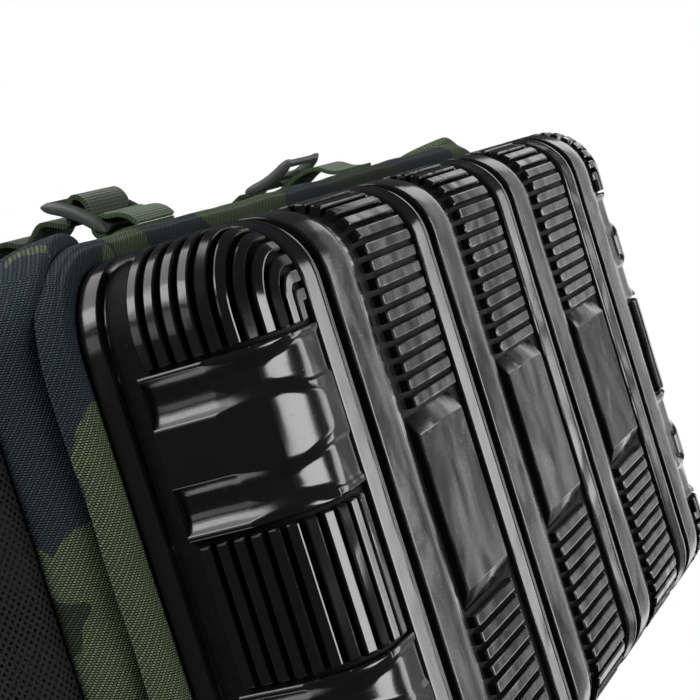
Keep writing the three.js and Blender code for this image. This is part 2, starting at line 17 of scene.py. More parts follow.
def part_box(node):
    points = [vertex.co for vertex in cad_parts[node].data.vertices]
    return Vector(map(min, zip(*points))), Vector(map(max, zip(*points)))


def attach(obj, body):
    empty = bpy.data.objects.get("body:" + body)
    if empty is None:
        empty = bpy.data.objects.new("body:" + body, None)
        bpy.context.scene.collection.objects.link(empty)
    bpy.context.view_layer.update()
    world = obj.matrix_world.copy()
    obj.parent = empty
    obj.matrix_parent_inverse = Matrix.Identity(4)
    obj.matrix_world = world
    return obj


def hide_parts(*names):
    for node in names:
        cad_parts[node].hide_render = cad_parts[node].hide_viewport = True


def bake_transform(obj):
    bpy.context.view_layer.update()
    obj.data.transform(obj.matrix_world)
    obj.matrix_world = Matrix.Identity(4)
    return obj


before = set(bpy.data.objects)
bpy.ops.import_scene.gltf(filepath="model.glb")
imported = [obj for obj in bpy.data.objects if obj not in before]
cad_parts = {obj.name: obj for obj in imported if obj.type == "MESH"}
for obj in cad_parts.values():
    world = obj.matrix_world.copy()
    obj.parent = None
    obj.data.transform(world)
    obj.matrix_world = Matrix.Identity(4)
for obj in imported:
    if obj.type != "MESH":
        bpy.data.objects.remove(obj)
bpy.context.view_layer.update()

MM = 0.001
SIDES = (("left", -1), ("right", 1))

# ---- Dimensions shared with the CAD model, in millimetres ----------------

HALF_WIDTH, HALF_DEPTH = 178.8, 95.5
RELIEF = 3
PLAN_RADIUS = 23
HEEL = 21
WALL_RUN = 40 - HEEL
HEEL_RUN = HEEL * pi / 2
COLUMN_PITCH = 87.2
COLUMN_HALF = 19.3
PLATE_HALF = 22.9
TREAD_HALF = 1.65
FIRST_TREAD, TREAD_PITCH = 32.15, 5
TREADS = np.arange(WALL_RUN + HEEL_RUN + HALF_DEPTH - FIRST_TREAD - HEEL, 2 * TREAD_HALF, -TREAD_PITCH)
RIB_END = 151
PAD_END = 147.9
SIDE_RIBS_HALF = 19.05
CORNER_RIBS_FROM = 65.7
SCOOPS = (28.6, 56.9)

BODY_HALF, BODY_FRONT, BODY_BACK, BODY_BOTTOM, BODY_TOP = 179, -101, 93, 66.6, 440
DOOR_HALF, DOOR_BOTTOM, DOOR_TOP = 149.5, 67.2, 249.5
HEM_TOP = 61.4
PAD_FACE = BODY_BACK + 0.3
LASH_X = 86
LASH_LOCKS = {"left": ((-LASH_X, -104.6, 79), -0.6), "right": ((LASH_X, -106.8, 112), pi + 0.3)}
SHOULDER_LOCK = ((138.5, 127, 160.5), pi + 0.526)

# ---- Lines and rings -----------------------------------------------------


def arc(x, y, radius, start, end, count):
    """Points on a circle about (x, y), from one angle to another."""
    return [(x + radius * cos(t), y + radius * sin(t)) for t in np.linspace(start, end, count)]


def circle(count):
    """(cosine, sine) of turns spread evenly round a circle."""
    return [(cos(t), sin(t)) for t in np.arange(count) * 2 * pi / count]


def power(value, exponent):
    """A power that keeps the sign, which squares a circle off."""
    return math.copysign(abs(value) ** exponent, value)


def dome(distance, length, least):
    """How thick a rounded end is, as a share, at a distance from its tip."""
    return math.sqrt(max(1 - (1 - min(distance / length, 1)) ** 2, least))


def unit(vectors):
    return vectors / np.linalg.norm(vectors, axis=-1, keepdims=True)


def smoothstep(low, high, value):
    t = np.clip((value - low) / (high - low), 0, 1)
    return t * t * (3 - 2 * t)


def distances(line):
    """How far along a line each of its points lies."""
    return np.concatenate([[0], np.cumsum(np.linalg.norm(np.diff(line, axis=0), axis=1))])


def read(rows, run, at):
    """A row between the given ones, at a distance along the line."""
    return np.array([np.interp(at, run, rows[:, k]) for k in range(rows.shape[1])])


def rounded(x0, x1, y0, y1, radius, steps, z):
    """A rounded rectangle as a ring of points at one height, counter-clockwise."""
    radius = max(min(radius, (x1 - x0) / 2, (y1 - y0) / 2), 0)
    left, right, near, far = x0 + radius, x1 - radius, y0 + radius, y1 - radius
    ring = []
    for quarter, middle in enumerate(((right, far), (left, far), (left, near), (right, near))):
        ring += arc(*middle, radius, quarter * pi / 2, (quarter + 1) * pi / 2, steps + 1)
    return [(x, y, z) for x, y in ring]


def upright(y, x0, x1, z0, z1, radius, steps):
    """The same ring standing up, at one distance from front to back."""
    return [(x, y, z) for x, z, _ in rounded(x0, x1, z0, z1, radius, steps, 0)]


def curve_points(points, steps):
    """Evenly numbered points on a Catmull-Rom line through the given ones."""
    points = np.asarray(points, float)
    ends = np.vstack([2 * points[0] - points[1], points, 2 * points[-1] - points[-2]])
    out = []
    for i in range(1, len(ends) - 2):
        p0, p1, p2, p3 = ends[i - 1:i + 3]
        for t in np.arange(steps) / steps:
            out.append(0.5 * (2 * p1 + (p2 - p0) * t + (2 * p0 - 5 * p1 + 4 * p2 - p3) * t**2
                              + (3 * p1 - p0 - 3 * p2 + p3) * t**3))
    return np.array(out + [ends[-2]])


def cloth_noise(point, scale, seed):
    """Smooth noise from -1 to 1 at a point in millimetres, with features about scale long."""
    return noise.noise(Vector((point[0] / scale + seed, point[1] / scale - seed, point[2] / scale + 2 * seed)))

# ---- Mesh building -------------------------------------------------------


class Shape:
    """Points and faces of one piece, gathered from closed bodies."""

    def __init__(self):
        self.points, self.faces, self.count = [], [], 0

    def add(self, points, faces):
        points = np.asarray(points, float).reshape(-1, 3)
        self.points.append(points)
        self.faces += [[i + self.count for i in face] for face in faces]
        self.count += len(points)

    def tube(self, rings, loop=False):
        """Skins a list of closed rings with the same number of points."""
        rings = np.asarray(rings, float)
        rows, cols = rings.shape[:2]
        faces = []
        for r in range(rows if loop else rows - 1):
            a, b = r * cols, (r + 1) % rows * cols
            faces += [(a + c, a + (c + 1) % cols, b + (c + 1) % cols, b + c) for c in range(cols)]
        if not loop:
            faces += [range(cols), range(rows * cols - 1, (rows - 1) * cols - 1, -1)]
        self.add(rings, faces)

    def grid(self, rows):
        """Skins an open grid of points, row by row."""
        n, m = np.shape(rows)[:2]
        corners = [r * m + c for r in range(n - 1) for c in range(m - 1)]
        self.add(rows, [(a, a + 1, a + m + 1, a + m) for a in corners])

    def slab(self, top, under):
        """A closed sheet between two grids of points with the same rows and columns."""
        n, m = np.shape(top)[:2]
        faces = []
        for a in (r * m + c for r in range(n - 1) for c in range(m - 1)):
            quad = (a, a + 1, a + m + 1, a + m)
            faces += [quad, [i + n * m for i in quad[::-1]]]
        border = [*range(m), *range(2 * m - 1, n * m, m), *range(n * m - 2, (n - 1) * m - 1, -1),
                  *range((n - 2) * m, 0, -m)]
        faces += [(a, a + n * m, b + n * m, b) for a, b in zip(border, border[1:] + border[:1])]
        self.add(np.concatenate([top, under]), faces)

    def made(self, name, material, sharp=60, levels=0, weld=False):
        """The finished object, in metres, with edges over the sharp angle kept crisp."""
        mesh = bpy.data.meshes.new(name)
        mesh.from_pydata((np.concatenate(self.points) * MM).tolist(), [], self.faces)
        data = bmesh.new()
        data.from_mesh(mesh)
        if weld:
            bmesh.ops.remove_doubles(data, verts=data.verts, dist=1e-5)
        bmesh.ops.recalc_face_normals(data, faces=data.faces)
        for face in data.faces:
            face.smooth = True
        for edge in data.edges:
            edge.smooth = len(edge.link_faces) != 2 or edge.calc_face_angle(0) < math.radians(sharp)
        data.to_mesh(mesh)
        data.free()
        mesh.materials.append(material)
        piece = bpy.data.objects.new(name, mesh)
        bpy.context.scene.collection.objects.link(piece)
        if levels:
            subdivided(piece, levels)
        return piece


def subdivided(piece, levels=1):
    smooth = piece.modifiers.new("smooth", "SUBSURF")
    smooth.levels = smooth.render_levels = levels


def lofted(name, rings, material, sharp=60, levels=0, loop=False):
    """A piece that is one closed skin over a list of rings."""
    shape = Shape()
    shape.tube(rings, loop)
    return shape.made(name, material, sharp, levels)


def banded(name, line, across, width, thickness, material):
    """A flat band swept along a line; across is its width direction at each point."""
    line = np.asarray(line, float)
    tangent = unit(np.gradient(line, axis=0))
    across = np.broadcast_to(np.asarray(across, float), line.shape)
    across = unit(across - (across * tangent).sum(1)[:, None] * tangent)
    normal = np.cross(across, tangent)
    faces = [(u * 0.985, 1) for u in np.linspace(-1, 1, 6)]
    section = np.array([(-1, 0), *faces, (1, 0), *((u, -v) for u, v in faces[::-1])])[None, :, :, None]
    rings = (line[:, None] + across[:, None] * section[:, :, 0] * width / 2
             + normal[:, None] * section[:, :, 1] * thickness / 2)
    piece = lofted(name, rings, material, sharp=50)
    middle = rings.mean(axis=1, keepdims=True)
    off = ((rings - middle) * unit(rings[:, :1] - middle)).sum(2)
    flat = np.stack([off, np.broadcast_to(distances(line)[:, None], off.shape), np.zeros_like(off)], 2)
    carried = piece.data.attributes.new("flat", "FLOAT_VECTOR", "POINT")
    carried.data.foreach_set("vector", (flat * MM).astype(np.float32).ravel())
    return piece


def round_tube(shape, line, radius, sides=10, loop=False):
    """A round cord along a line of points."""
    line = np.asarray(line, float)
    ahead = np.roll(line, -1, 0) - np.roll(line, 1, 0)
    if not loop:
        ahead[0], ahead[-1] = line[1] - line[0], line[-1] - line[-2]
    ahead = unit(ahead)
    across = np.array((0.31, 0.17, 0.93) if abs(ahead[0][2]) < 0.9 else (0.9, 0.4, 0.1))
    rings = []
    for point, direction in zip(line, ahead):
        across = unit(across - direction * (across @ direction))
        other = np.cross(direction, across)
        rings.append([point + radius * (across * c + other * s) for c, s in circle(sides)])
    shape.tube(rings, loop=loop)


def stitches(shape, line, outward, pitch=3.8, length=2.7, half=0.33):
    """Sewing stitches along a line, each a small spindle of thread lying on the surface."""
    line = np.asarray(line, float)
    outward = np.broadcast_to(np.asarray(outward, float), line.shape)
    run = distances(line)
    for start in np.arange(pitch / 2, run[-1] - length, pitch):
        rings = []
        for along, size in ((0, 0.35), (0.25, 1), (0.75, 1), (1, 0.35)):
            at = start + along * length
            middle = read(line, run, at)
            ahead = read(line, run, at + 0.5) - middle
            if np.linalg.norm(ahead) < 1e-6:
                ahead = line[-1] - line[-2]
            out = unit(read(outward, run, at))
            side = np.cross(unit(ahead), out)
            lift = middle + out * (half * (1.1 * size - 0.55))
            rings.append([lift + half * size * (side * c + out * s) for c, s in circle(5)])
        shape.tube(rings)


def settled(piece, body, slot, *replaced):
    """Puts a finished piece on its body, in place of CAD nodes; the slot is not used."""
    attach(piece, body)
    if replaced:
        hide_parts(*replaced)

# ---- Materials -----------------------------------------------------------


class Value:
    """A node's output, which takes arithmetic."""

    def __init__(self, graph, socket):
        self.graph, self.socket = graph, socket

    def maths(self, operation, *others):
        made = self.graph.node("Math", {"operation": operation})
        for socket, value in zip(made.inputs, (self, *others)):
            self.graph.feed(socket, value)
        return Value(self.graph, made.outputs[0])


for name, operation in (("__add__", "ADD"), ("__sub__", "SUBTRACT"), ("__mul__", "MULTIPLY"),
                        ("__truediv__", "DIVIDE"), ("__mod__", "MODULO"), ("__gt__", "GREATER_THAN"),
                        ("__abs__", "ABSOLUTE"), ("sine", "SINE"), ("floor", "FLOOR"), ("fract", "FRACT"),
                        ("root", "SQRT"), ("most", "MAXIMUM")):
    setattr(Value, name, functools.partialmethod(Value.maths, operation))


class Graph:
    """A material's nodes, built with short calls."""

    def __init__(self, name):
        self.material = bpy.data.materials.new(name)
        self.material.use_nodes = True
        self.tree = self.material.node_tree
        self.shader = self.tree.nodes["Principled BSDF"]
        self.coords = self.tree.nodes.new("ShaderNodeTexCoord")
        self.place = self.coords.outputs["Object"]

    def node(self, kind, settings=None, **inputs):
        """A new node; its inputs go by name, or by number as i0, i1 and so on."""
        made = self.tree.nodes.new("ShaderNode" + kind)
        for key, value in (settings or {}).items():
            setattr(made, key, value)
        for key, value in inputs.items():
            self.feed(made.inputs[int(key[1:]) if key[1:].isdigit() else key], value)
        return made

    def feed(self, socket, value):
        value = getattr(value, "socket", value)
        if isinstance(value, bpy.types.NodeSocket):
            self.tree.links.new(value, socket)
        else:
            socket.default_value = value

    def noise(self, scale, detail=3.0, roughness=0.5, distortion=0.0, place=None, fourth=None):
        settings, inputs = ({"noise_dimensions": "4D"}, {"W": fourth}) if fourth else ({}, {})
        made = self.node("TexNoise", settings, Vector=place or self.place, Scale=scale, Detail=detail,
                         Roughness=roughness, Distortion=distortion, **inputs)
        return Value(self, made.outputs["Fac"])

    def patches(self, scale, detail, low, high):
        """Soft cloudy variation between two values."""
        return self.span(self.noise(scale, detail), 0.3, 0.7, low, high)

    def mapped(self, scale, rotation):
        return self.node("Mapping", Vector=self.place, Scale=scale, Rotation=rotation).outputs[0]

    def xyz(self, socket):
        return [Value(self, part) for part in self.node("SeparateXYZ", i0=socket).outputs]

    def pointiness(self, low, high):
        return self.span(self.node("NewGeometry").outputs["Pointiness"], low, high)

    def ramp(self, value, *stops):
        made = self.node("ValToRGB", Fac=value)
        for element, (spot, colour) in zip(made.color_ramp.elements, stops):
            element.position = spot
            element.color = (*colour, 1) if isinstance(colour, tuple) else (colour, colour, colour, 1)
        return made.outputs["Color"]

    def mix(self, factor, a, b, blend="MIX"):
        a, b = ((*c, 1) if isinstance(c, tuple) else c for c in (a, b))
        return self.node("Mix", {"data_type": "RGBA", "blend_type": blend}, Factor=factor, i6=a, i7=b).outputs[2]

    def between(self, factor, a, b):
        return Value(self, self.node("Mix", i0=factor, i2=a, i3=b).outputs[0])

    def shaded(self, colour, tone):
        """A colour darkened or lit by a tone."""
        grey = self.node("CombineColor", i0=tone, i1=tone, i2=tone).outputs[0]
        return self.mix(1.0, colour, grey, "MULTIPLY")

    def span(self, value, low, high, to_low=0.0, to_high=1.0):
        made = self.node("MapRange", Value=value)
        for socket, number in zip(("From Min", "From Max", "To Min", "To Max"), (low, high, to_low, to_high)):
            made.inputs[socket].default_value = number
        return Value(self, made.outputs[0])

    def bump(self, height, strength, distance):
        made = self.node("Bump", Height=height, Strength=strength, Distance=distance)
        self.feed(self.shader.inputs["Normal"], made.outputs["Normal"])

    def finish(self, **inputs):
        names = {"colour": "Base Color", "roughness": "Roughness", "metallic": "Metallic",
                 "sheen": "Sheen Weight", "sheen_roughness": "Sheen Roughness",
                 "specular": "Specular IOR Level", "alpha": "Alpha"}
        for key, value in inputs.items():
            self.feed(self.shader.inputs[names[key]], (*value, 1) if isinstance(value, tuple) else value)
        return self.material


def moulded_plastic():
    """Glossy black injection-moulded plastic: scratched, dusty, and scuffed where it rests."""
    g = Graph("moulded_plastic")
    scratches = g.span(g.noise(260, 2, 0.6, place=g.mapped((1, 18, 1), (0.3, 0.2, 0.7))), 0.68, 0.76)
    dust = g.span(g.noise(2300, 2, 0.5), 0.74, 0.8)
    worn = g.span(g.noise(62, 5, 0.62, 0.7, g.mapped((1, 0.4, 1), (0, 0, 0.25))), 0.46, 0.66)
    worn = worn * g.span(g.xyz(g.place)[2], 0.0002, 0.0012, 1.0, 0.0)
    rough = g.span(g.noise(26, 4, 0.6), 0.3, 0.7, 0.12, 0.2) + scratches * 0.14 + dust * 0.3 + worn * 0.16
    colour = g.mix(dust * 0.2, (0.0045, 0.0045, 0.005), (0.2, 0.2, 0.2))
    height = g.noise(70, 2, 0.5, 0.4) * 0.9 + g.noise(1500, 2) * 0.06 + g.noise(24, 2, 0.5, 0.6) * 16.0
    g.bump(height - scratches * 0.07, 0.2, 0.0006)
    return g.finish(colour=g.mix(worn * 0.55, colour, (0.085, 0.085, 0.085)), roughness=rough, specular=0.6)


def textured_recess():
    """The same plastic where the mould is spark-textured, down between the treads."""
    g = Graph("textured_recess")
    dust = g.span(g.noise(700, 4, 0.6), 0.6, 0.75)
    tone = g.mix(dust * 0.12, (0.0035, 0.0035, 0.004), (0.12, 0.12, 0.115))
    g.bump(g.noise(3200, 3, 0.6), 0.5, 0.0003)
    return g.finish(colour=tone, roughness=g.patches(60, 3, 0.5, 0.68), specular=0.12)


def surface_plane(g):
    """(across, up) along the surface a point is on, running on unbroken from a wall over its edges."""
    normal = g.xyz(g.coords.outputs["Normal"])
    x, y, z = g.xyz(g.place)
    sideways = abs(normal[0]) + abs(x) * 0.3 > abs(normal[1]) + abs(y) * 0.55
    inward = g.between(sideways, abs(y), abs(x))
    return g.between(sideways, x, y), z + inward * g.between(z > 0.25, 1.0, -1.0)


def weave_height(g, pitch):
    """Height of a coarse oxford weave: rows of short floats, each row half a float on from the last."""
    across, up = surface_plane(g)
    wobble = g.noise(420, 2) * 0.45
    rows = across / (pitch * 0.8) + up * (0.2 / pitch) + wobble
    floats = up / (pitch * 1.45) + rows.floor() * 0.5 + wobble
    height = abs((rows * pi).sine()) * (abs((floats * pi).sine()) * 0.7 + 0.3)
    return height, abs(floats.floor() + rows.floor()) % 2 > 0.5


NAVY = (0.011, 0.019, 0.024)
MID_GREEN = (0.052, 0.070, 0.035)
OLIVE = (0.015, 0.019, 0.011)
PALE_GREEN = (0.078, 0.108, 0.052)

# Where the print is made navy (+) or green (-) round the front left corner: centre and radius in mm,
# before the print's own warp, and how strongly.
PRINT_SPOTS = (((-186, -84, 60), 30, 0.3), ((-188, -58, 77), 30, 0.3), ((-150, -101, 61), 15, 0.28),
               ((-186, -24, 56), 30, -0.3), ((-186, 12, 72), 34, -0.3), ((-184, -84, 80), 13, -0.34),
               ((-167, -100, 60), 8, -0.3), ((-96, -100, 60), 30, 0.2), ((-40, -100, 60), 26, -0.2),
               ((-109, -80, 72), 12, -0.5), ((-131, -80, 72), 11, 0.3), ((-84, -80, 72), 14, 0.3),
               ((-160, -70, 70), 17, 0.5))


def camouflage():
    """Coarse polyester weave printed with a woodland pattern."""
    g = Graph("camouflage")
    warp = g.node("TexNoise", Vector=g.place, Scale=30.0, Detail=2.0).outputs["Color"]
    place = g.node("Mix", {"data_type": "VECTOR"}, i0=0.035, i4=g.place, i5=warp).outputs[1]
    navy = g.noise(12.5, 1.2, 0.45, 0.35, place)
    olive = g.noise(15.0, 1.0, 0.45, 0.0, place, 4.7)
    pale = g.noise(21.0, 1.0, 0.45, 0.0, place, 9.3)
    for middle, radius, amount in PRINT_SPOTS:
        away = g.node("VectorMath", {"operation": "DISTANCE"}, i0=place, i1=[v * MM for v in middle])
        spot = g.span(away.outputs["Value"], 0.55 * radius * MM, 1.25 * radius * MM, 1.0, 0.0)
        navy, olive = navy + spot * amount, olive - spot * 0.12
    colour = g.mix(navy > 0.525, MID_GREEN, NAVY)
    colour = g.mix(pale > 0.635, g.mix(olive > 0.56, colour, OLIVE), PALE_GREEN)
    height, over = weave_height(g, 0.00082)
    # Painted shade and highlight: the weave's height darkens the gaps between threads almost to black and lights
    # the thread tops as painted sheen; the fibre noise, the two float tones and the cloudy patches are the cloth's
    # own tone.
    thread = g.span(height, 0.3, 0.95, 0.04, 2.9) * g.span(g.noise(5200, 2, 0.6), 0.3, 0.7, 0.75, 1.25)
    tone = thread * g.between(over, 0.8, 1.15) * g.patches(9, 3, 0.85, 1.2)
    g.bump(height, 0.7, 0.0004)
    return g.finish(colour=g.shaded(colour, tone), roughness=g.span(height, 0, 1, 0.95, 0.62), sheen=0.05,
                    sheen_roughness=0.5, specular=0.2)


def webbing(name, colour):
    """Ribbed nylon webbing: close cross ribs in long wales, laid out by the band's own coordinates."""
    g = Graph(name)
    across, along, _ = g.xyz(g.node("Attribute", {"attribute_name": "flat"}).outputs["Vector"])
    wale = abs((across * 1250.0).sine())
    rib = (along * 6800.0 + wale * 0.45 * 2.0).sine()
    height = rib * 0.5 + wale * 0.22
    # Painted shade and highlight: the rib and wale relief darkens the grooves and lights the crests; the cloudy
    # patches are the webbing's own tone.
    tone = g.span(height, -0.45, 0.75, 0.35, 1.5) * g.patches(60, 3, 0.8, 1.2)
    g.bump(height, 0.6, 0.0004)
    return g.finish(colour=g.shaded(colour, tone), roughness=0.7, sheen=0.2, specular=0.3)


def thread_material():
    """Waxed sewing thread."""
    g = Graph("thread")
    tone = g.ramp(g.noise(2600, 2), (0.3, (0.03, 0.035, 0.025)), (0.7, (0.1, 0.11, 0.085)))
    g.bump(g.noise(6000, 1), 0.4, 0.0002)
    return g.finish(colour=tone, roughness=0.6)


def binding_tape():
    """Black grosgrain that binds edges."""
    g = Graph("binding_tape")
    across, up = surface_plane(g)
    ribs = ((across + up) * 4600.0).sine()
    # Partly painted shade and highlight: the ribs darken their grooves and light their crests; the noise is the
    # tape's own tone.
    tone = g.ramp(ribs * 0.3 + g.noise(900, 2), (0.3, 0.006), (0.8, 0.03))
    g.bump(ribs, 0.5, 0.0003)
    return g.finish(colour=tone, roughness=0.75, sheen=0.15)


def air_mesh():
    """Black spacer mesh, with its open knit cells over the foam."""
    g = Graph("air_mesh")
    u, v = (way * (1 / 0.0031) for way in surface_plane(g))
    du = (u + abs(v.floor()) % 2 * 0.5).fract() - 0.5
    dv = v.fract() - 0.5
    height = g.span((du * du + dv * dv).root(), 0.2, 0.42)
    # Painted shade: the knit cells are darkened towards their middles, where the holes fall into shade; the noise
    # is the mesh's own tone.
    tone = g.ramp(height * 0.7 + g.noise(3000, 2) * 0.3, (0.15, 0.003), (0.85, 0.032))
    g.bump(height, 0.8, 0.0009)
    return g.finish(colour=tone, roughness=0.85, sheen=0.3)


def pocket_mesh():
    """Black knitted mesh with diamond holes that go right through."""
    g = Graph("pocket_mesh")
    across, up = surface_plane(g)
    du, dv = (abs((way * (1 / 0.0026)).fract() - 0.5) for way in (across + up, across - up))
    tone = g.ramp(g.noise(2400, 2), (0.3, 0.003), (0.75, 0.016))
    g.bump(((across + up) * 9000.0).sine(), 0.5, 0.0003)
    return g.finish(colour=tone, roughness=0.7, sheen=0.05, specular=0.25, alpha=du.most(dv) > 0.27)


def satin_plastic(name, colour, rough):
    """Moulded nylon, lightly grained, with worn corners."""
    g = Graph(name)
    scuff = g.span(g.noise(700, 3), 0.55, 0.75) * 0.25
    pale = tuple(3.2 * c + 0.02 for c in colour)
    tone = g.mix((g.pointiness(0.52, 0.62) * 0.6).most(scuff), colour, pale)
    g.bump(g.noise(3800, 2), 0.25, 0.0002)
    return g.finish(colour=tone, roughness=g.patches(140, 3, rough - 0.08, rough + 0.12))


def painted_metal():
    """Black enamelled die casting, rubbed bright along its edges."""
    g = Graph("painted_metal")
    wear = g.pointiness(0.53, 0.6) * g.span(g.noise(900, 3), 0.4, 0.6)
    tone = g.mix(wear, (0.012, 0.012, 0.013), (0.32, 0.31, 0.3))
    g.bump(g.noise(2600, 2), 0.15, 0.0002)
    return g.finish(colour=tone, roughness=g.patches(300, 3, 0.24, 0.42), metallic=0.85)


def stiff_board():
    """Grained black polyethylene board."""
    g = Graph("board")
    cells = g.node("TexVoronoi", {"feature": "DISTANCE_TO_EDGE"}, Vector=g.place, Scale=620.0)
    tone = g.ramp(g.noise(40, 4), (0.3, 0.012), (0.7, 0.028))
    g.bump(g.span(cells.outputs["Distance"], 0, 0.2), 0.35, 0.0004)
    return g.finish(colour=tone, roughness=g.patches(120, 3, 0.45, 0.62))


def lining():
    """Grey coated lining cloth."""
    g = Graph("lining")
    height, _ = weave_height(g, 0.0006)
    # Painted shade and highlight: the weave's height darkens the gaps between threads and lights the thread tops;
    # the cloudy patches are the lining's own tone.
    tone = g.ramp(height * g.patches(30, 3, 0.7, 1.1), (0.1, (0.02, 0.021, 0.022)), (0.9, (0.075, 0.077, 0.078)))
    g.bump(height, 0.3, 0.0003)
    return g.finish(colour=tone, roughness=0.6, sheen=0.1)


MOULDED = moulded_plastic()
CAMO = camouflage()
LINING = lining()
WEBBING = webbing("webbing", (0.030, 0.062, 0.022))
WEBBING_DARK = webbing("webbing_dark", (0.022, 0.034, 0.012))
THREAD = thread_material()
BINDING = binding_tape()
TAPE = binding_tape()
COIL = satin_plastic("zip_coil", (0.012, 0.012, 0.013), 0.34)
AIR_MESH = air_mesh()
POCKET = pocket_mesh()
PLASTIC = satin_plastic("buckle_plastic", (0.030, 0.033, 0.031), 0.36)
METAL = painted_metal()
BOARD = stiff_board()
RECESS = textured_recess()

# ---- Moulded base --------------------------------------------------------


def front_point(inset, distance):
    """(in, up) at a distance down a wall from the pattern's top, round the heel and inward."""
    turn = min(max((distance - WALL_RUN) / HEEL, 0), pi / 2)
    radius = HEEL - inset
    return (HEEL - radius * cos(turn) + max(distance - WALL_RUN - HEEL_RUN, 0),
            HEEL - radius * sin(turn) + max(WALL_RUN - distance, 0))


U_STATIONS = np.concatenate([
    np.linspace(0, WALL_RUN, 5)[:-1], np.linspace(WALL_RUN, WALL_RUN + HEEL_RUN, 15),
    [WALL_RUN + HEEL_RUN + d for d in (18, 36, 54, HALF_DEPTH - HEEL)]])


def u_line(inset):
    """(y, z) points from the front pattern top under the base to the back pattern top."""
    there = np.array([front_point(inset, s) for s in U_STATIONS]) - (HALF_DEPTH, 0)
    return np.vstack([there, (there * (-1, 1))[-2::-1]])


# Each ridge's cross section as (across, height): sloped shoulders and, between them, flats that a
# groove parts into a narrow bead and a wide land.
BEAD = [(-17.05, -0.5), (-17, 1.1), (-16.9, 1.55), (-16.6, 1.95), (-16.2, 2.18), (-15.9, 2.22),
        (-11.6, 2.84), (-11.3, 2.88), (-11.1, 2.78), (-10.8, 2.74), (-10.55, 2.86), (-10.3, 2.97),
        (-9.9, 3), (-9.0, 3), (-8.65, 2.92), (-8.42, 2.6), (-8.35, -0.5)]
LAND = [(-2.45, -0.5), (-2.4, 2.55), (-2.2, 2.85), (-1.8, 2.98), (-1.2, 3), (4, 3), (9, 2.99), (11.2, 2.94),
        (12.6, 2.85), (13.3, 2.75), (13.6, 2.6), (13.95, 2.56), (14.2, 2.6), (14.45, 2.55), (18.2, 1.84),
        (18.5, 1.77), (18.9, 1.6), (19.3, 1.25), (19.5, 0.8), (19.55, -0.5)]


def ridge(shape, middle, profile):
    """A moulded bead or land wrapped round the base from front to back."""
    lines = []
    for across, height in profile:
        line = u_line(RELIEF - height)
        line[[0, -1], 1] -= max(height, 0) * 0.35
        lines.append(np.column_stack([np.full(len(line), middle + across), line]))
    shape.tube(np.transpose(lines, (1, 0, 2)))


TREAD_SECTION = ((-1, -3.6), (-1, -0.55), (-0.9, -0.16), (-0.68, 0), (0.68, 0), (0.9, -0.16),
                 (1, -0.55), (1, -3.6))


def tread_profile(distance, drop):
    """One tread's cross section as (in, up), its top edges rounded off."""
    return [front_point(-min(height - drop, 0), distance + across * TREAD_HALF)
            for across, height in TREAD_SECTION]


def straight_tread(shape, distance, side, start, end, step_end=0):
    """A tread run straight along a side wall or, where it ends in a step, along the front or back."""
    stations = [(start, 0.55), (start + 0.35, 0.12), (start + 0.8, 0), (start + 1.1, 0),
                (end - 1.1, 0), (end - 0.8, 0), (end - 0.35, 0.12), (end, 0.55)]
    if step_end:
        foot = end - step_end
        stations[4:] = [(foot - 0.8, 0), (foot - 0.5, 0), (foot - 0.15, 0.2), (foot, 0.9),
                        (end - 0.4, 1.1), (end, 1.6)]
    rings = []
    for place, drop in stations:
        profile = tread_profile(distance, drop)
        if step_end:
            rings.append([(place, side * (HALF_DEPTH - out), up) for out, up in profile])
        else:
            rings.append([(side * (HALF_WIDTH - out), place, up) for out, up in profile])
    shape.tube(rings)


def corner_tread(shape, distance, side_x, side_y):
    """A tread that turns round a vertical corner, from the ridge to the scooped pad."""
    def contour(out):
        radius = max(PLAN_RADIUS - out, 0)
        far_x, far_y = HALF_WIDTH - out, HALF_DEPTH - out
        mid_x, mid_y = far_x - radius, far_y - radius
        return [(RIB_END, far_y), (RIB_END + 0.4, far_y), (max(RIB_END + 0.8, mid_x - 0.01), far_y),
                *arc(mid_x, mid_y, radius, pi / 2, 0, 13), (far_x, mid_y - 0.01),
                (far_x, CORNER_RIBS_FROM + 0.4), (far_x, CORNER_RIBS_FROM)]

    rings = []
    for i, drop in enumerate((0.55, 0.12, *[0] * 15, 0.12, 0.55)):
        places = [(*contour(out)[i], up) for out, up in tread_profile(distance, drop)]
        rings.append([(side_x * x, side_y * y, up) for x, y, up in places])
    shape.tube(rings)


CREASE_TURN = math.radians(37)
CREASE_AT = WALL_RUN + HEEL * CREASE_TURN


def pad_depth(s, y):
    """How far the scooped side pad lies below the crests, at s down the wall and y along it."""
    turn = np.clip((s - WALL_RUN) / HEEL, 0, CREASE_TURN)
    chord = HEEL * (1 - cos(CREASE_TURN / 2) / np.cos(turn - CREASE_TURN / 2))
    depth = np.where(s < CREASE_AT, chord + 0.22, 0.0)
    flare = smoothstep(WALL_RUN + 2, CREASE_AT + 4, s)
    end = smoothstep(CREASE_AT, WALL_RUN + HEEL_RUN, s)
    for middle in SCOOPS:
        away = np.abs(y - middle)
        round_part = np.sqrt(np.clip(9.07**2 - away**2, 0, None)) - 6.25
        half = 6.4 + 3.0 * end
        wide_part = (2.4 - 0.6 * end) * (1 - smoothstep(half - 5.0, half, away))
        channel = np.clip(round_part, 0, None) * (1 - flare) + wide_part * flare
        head = np.clip((s - 0.6) * 90, 0, None)
        depth = np.maximum(depth, np.minimum(np.minimum(channel + depth * 0.4, 2.92), head))
    rounding = 6.5 * smoothstep(2.5, 9.0, np.abs(y - sum(SCOOPS) / 2)) ** 2
    edge = WALL_RUN + HEEL_RUN - 0.5 - rounding
    return np.maximum(depth, 1.25 * smoothstep(edge, edge + 1.1, s))


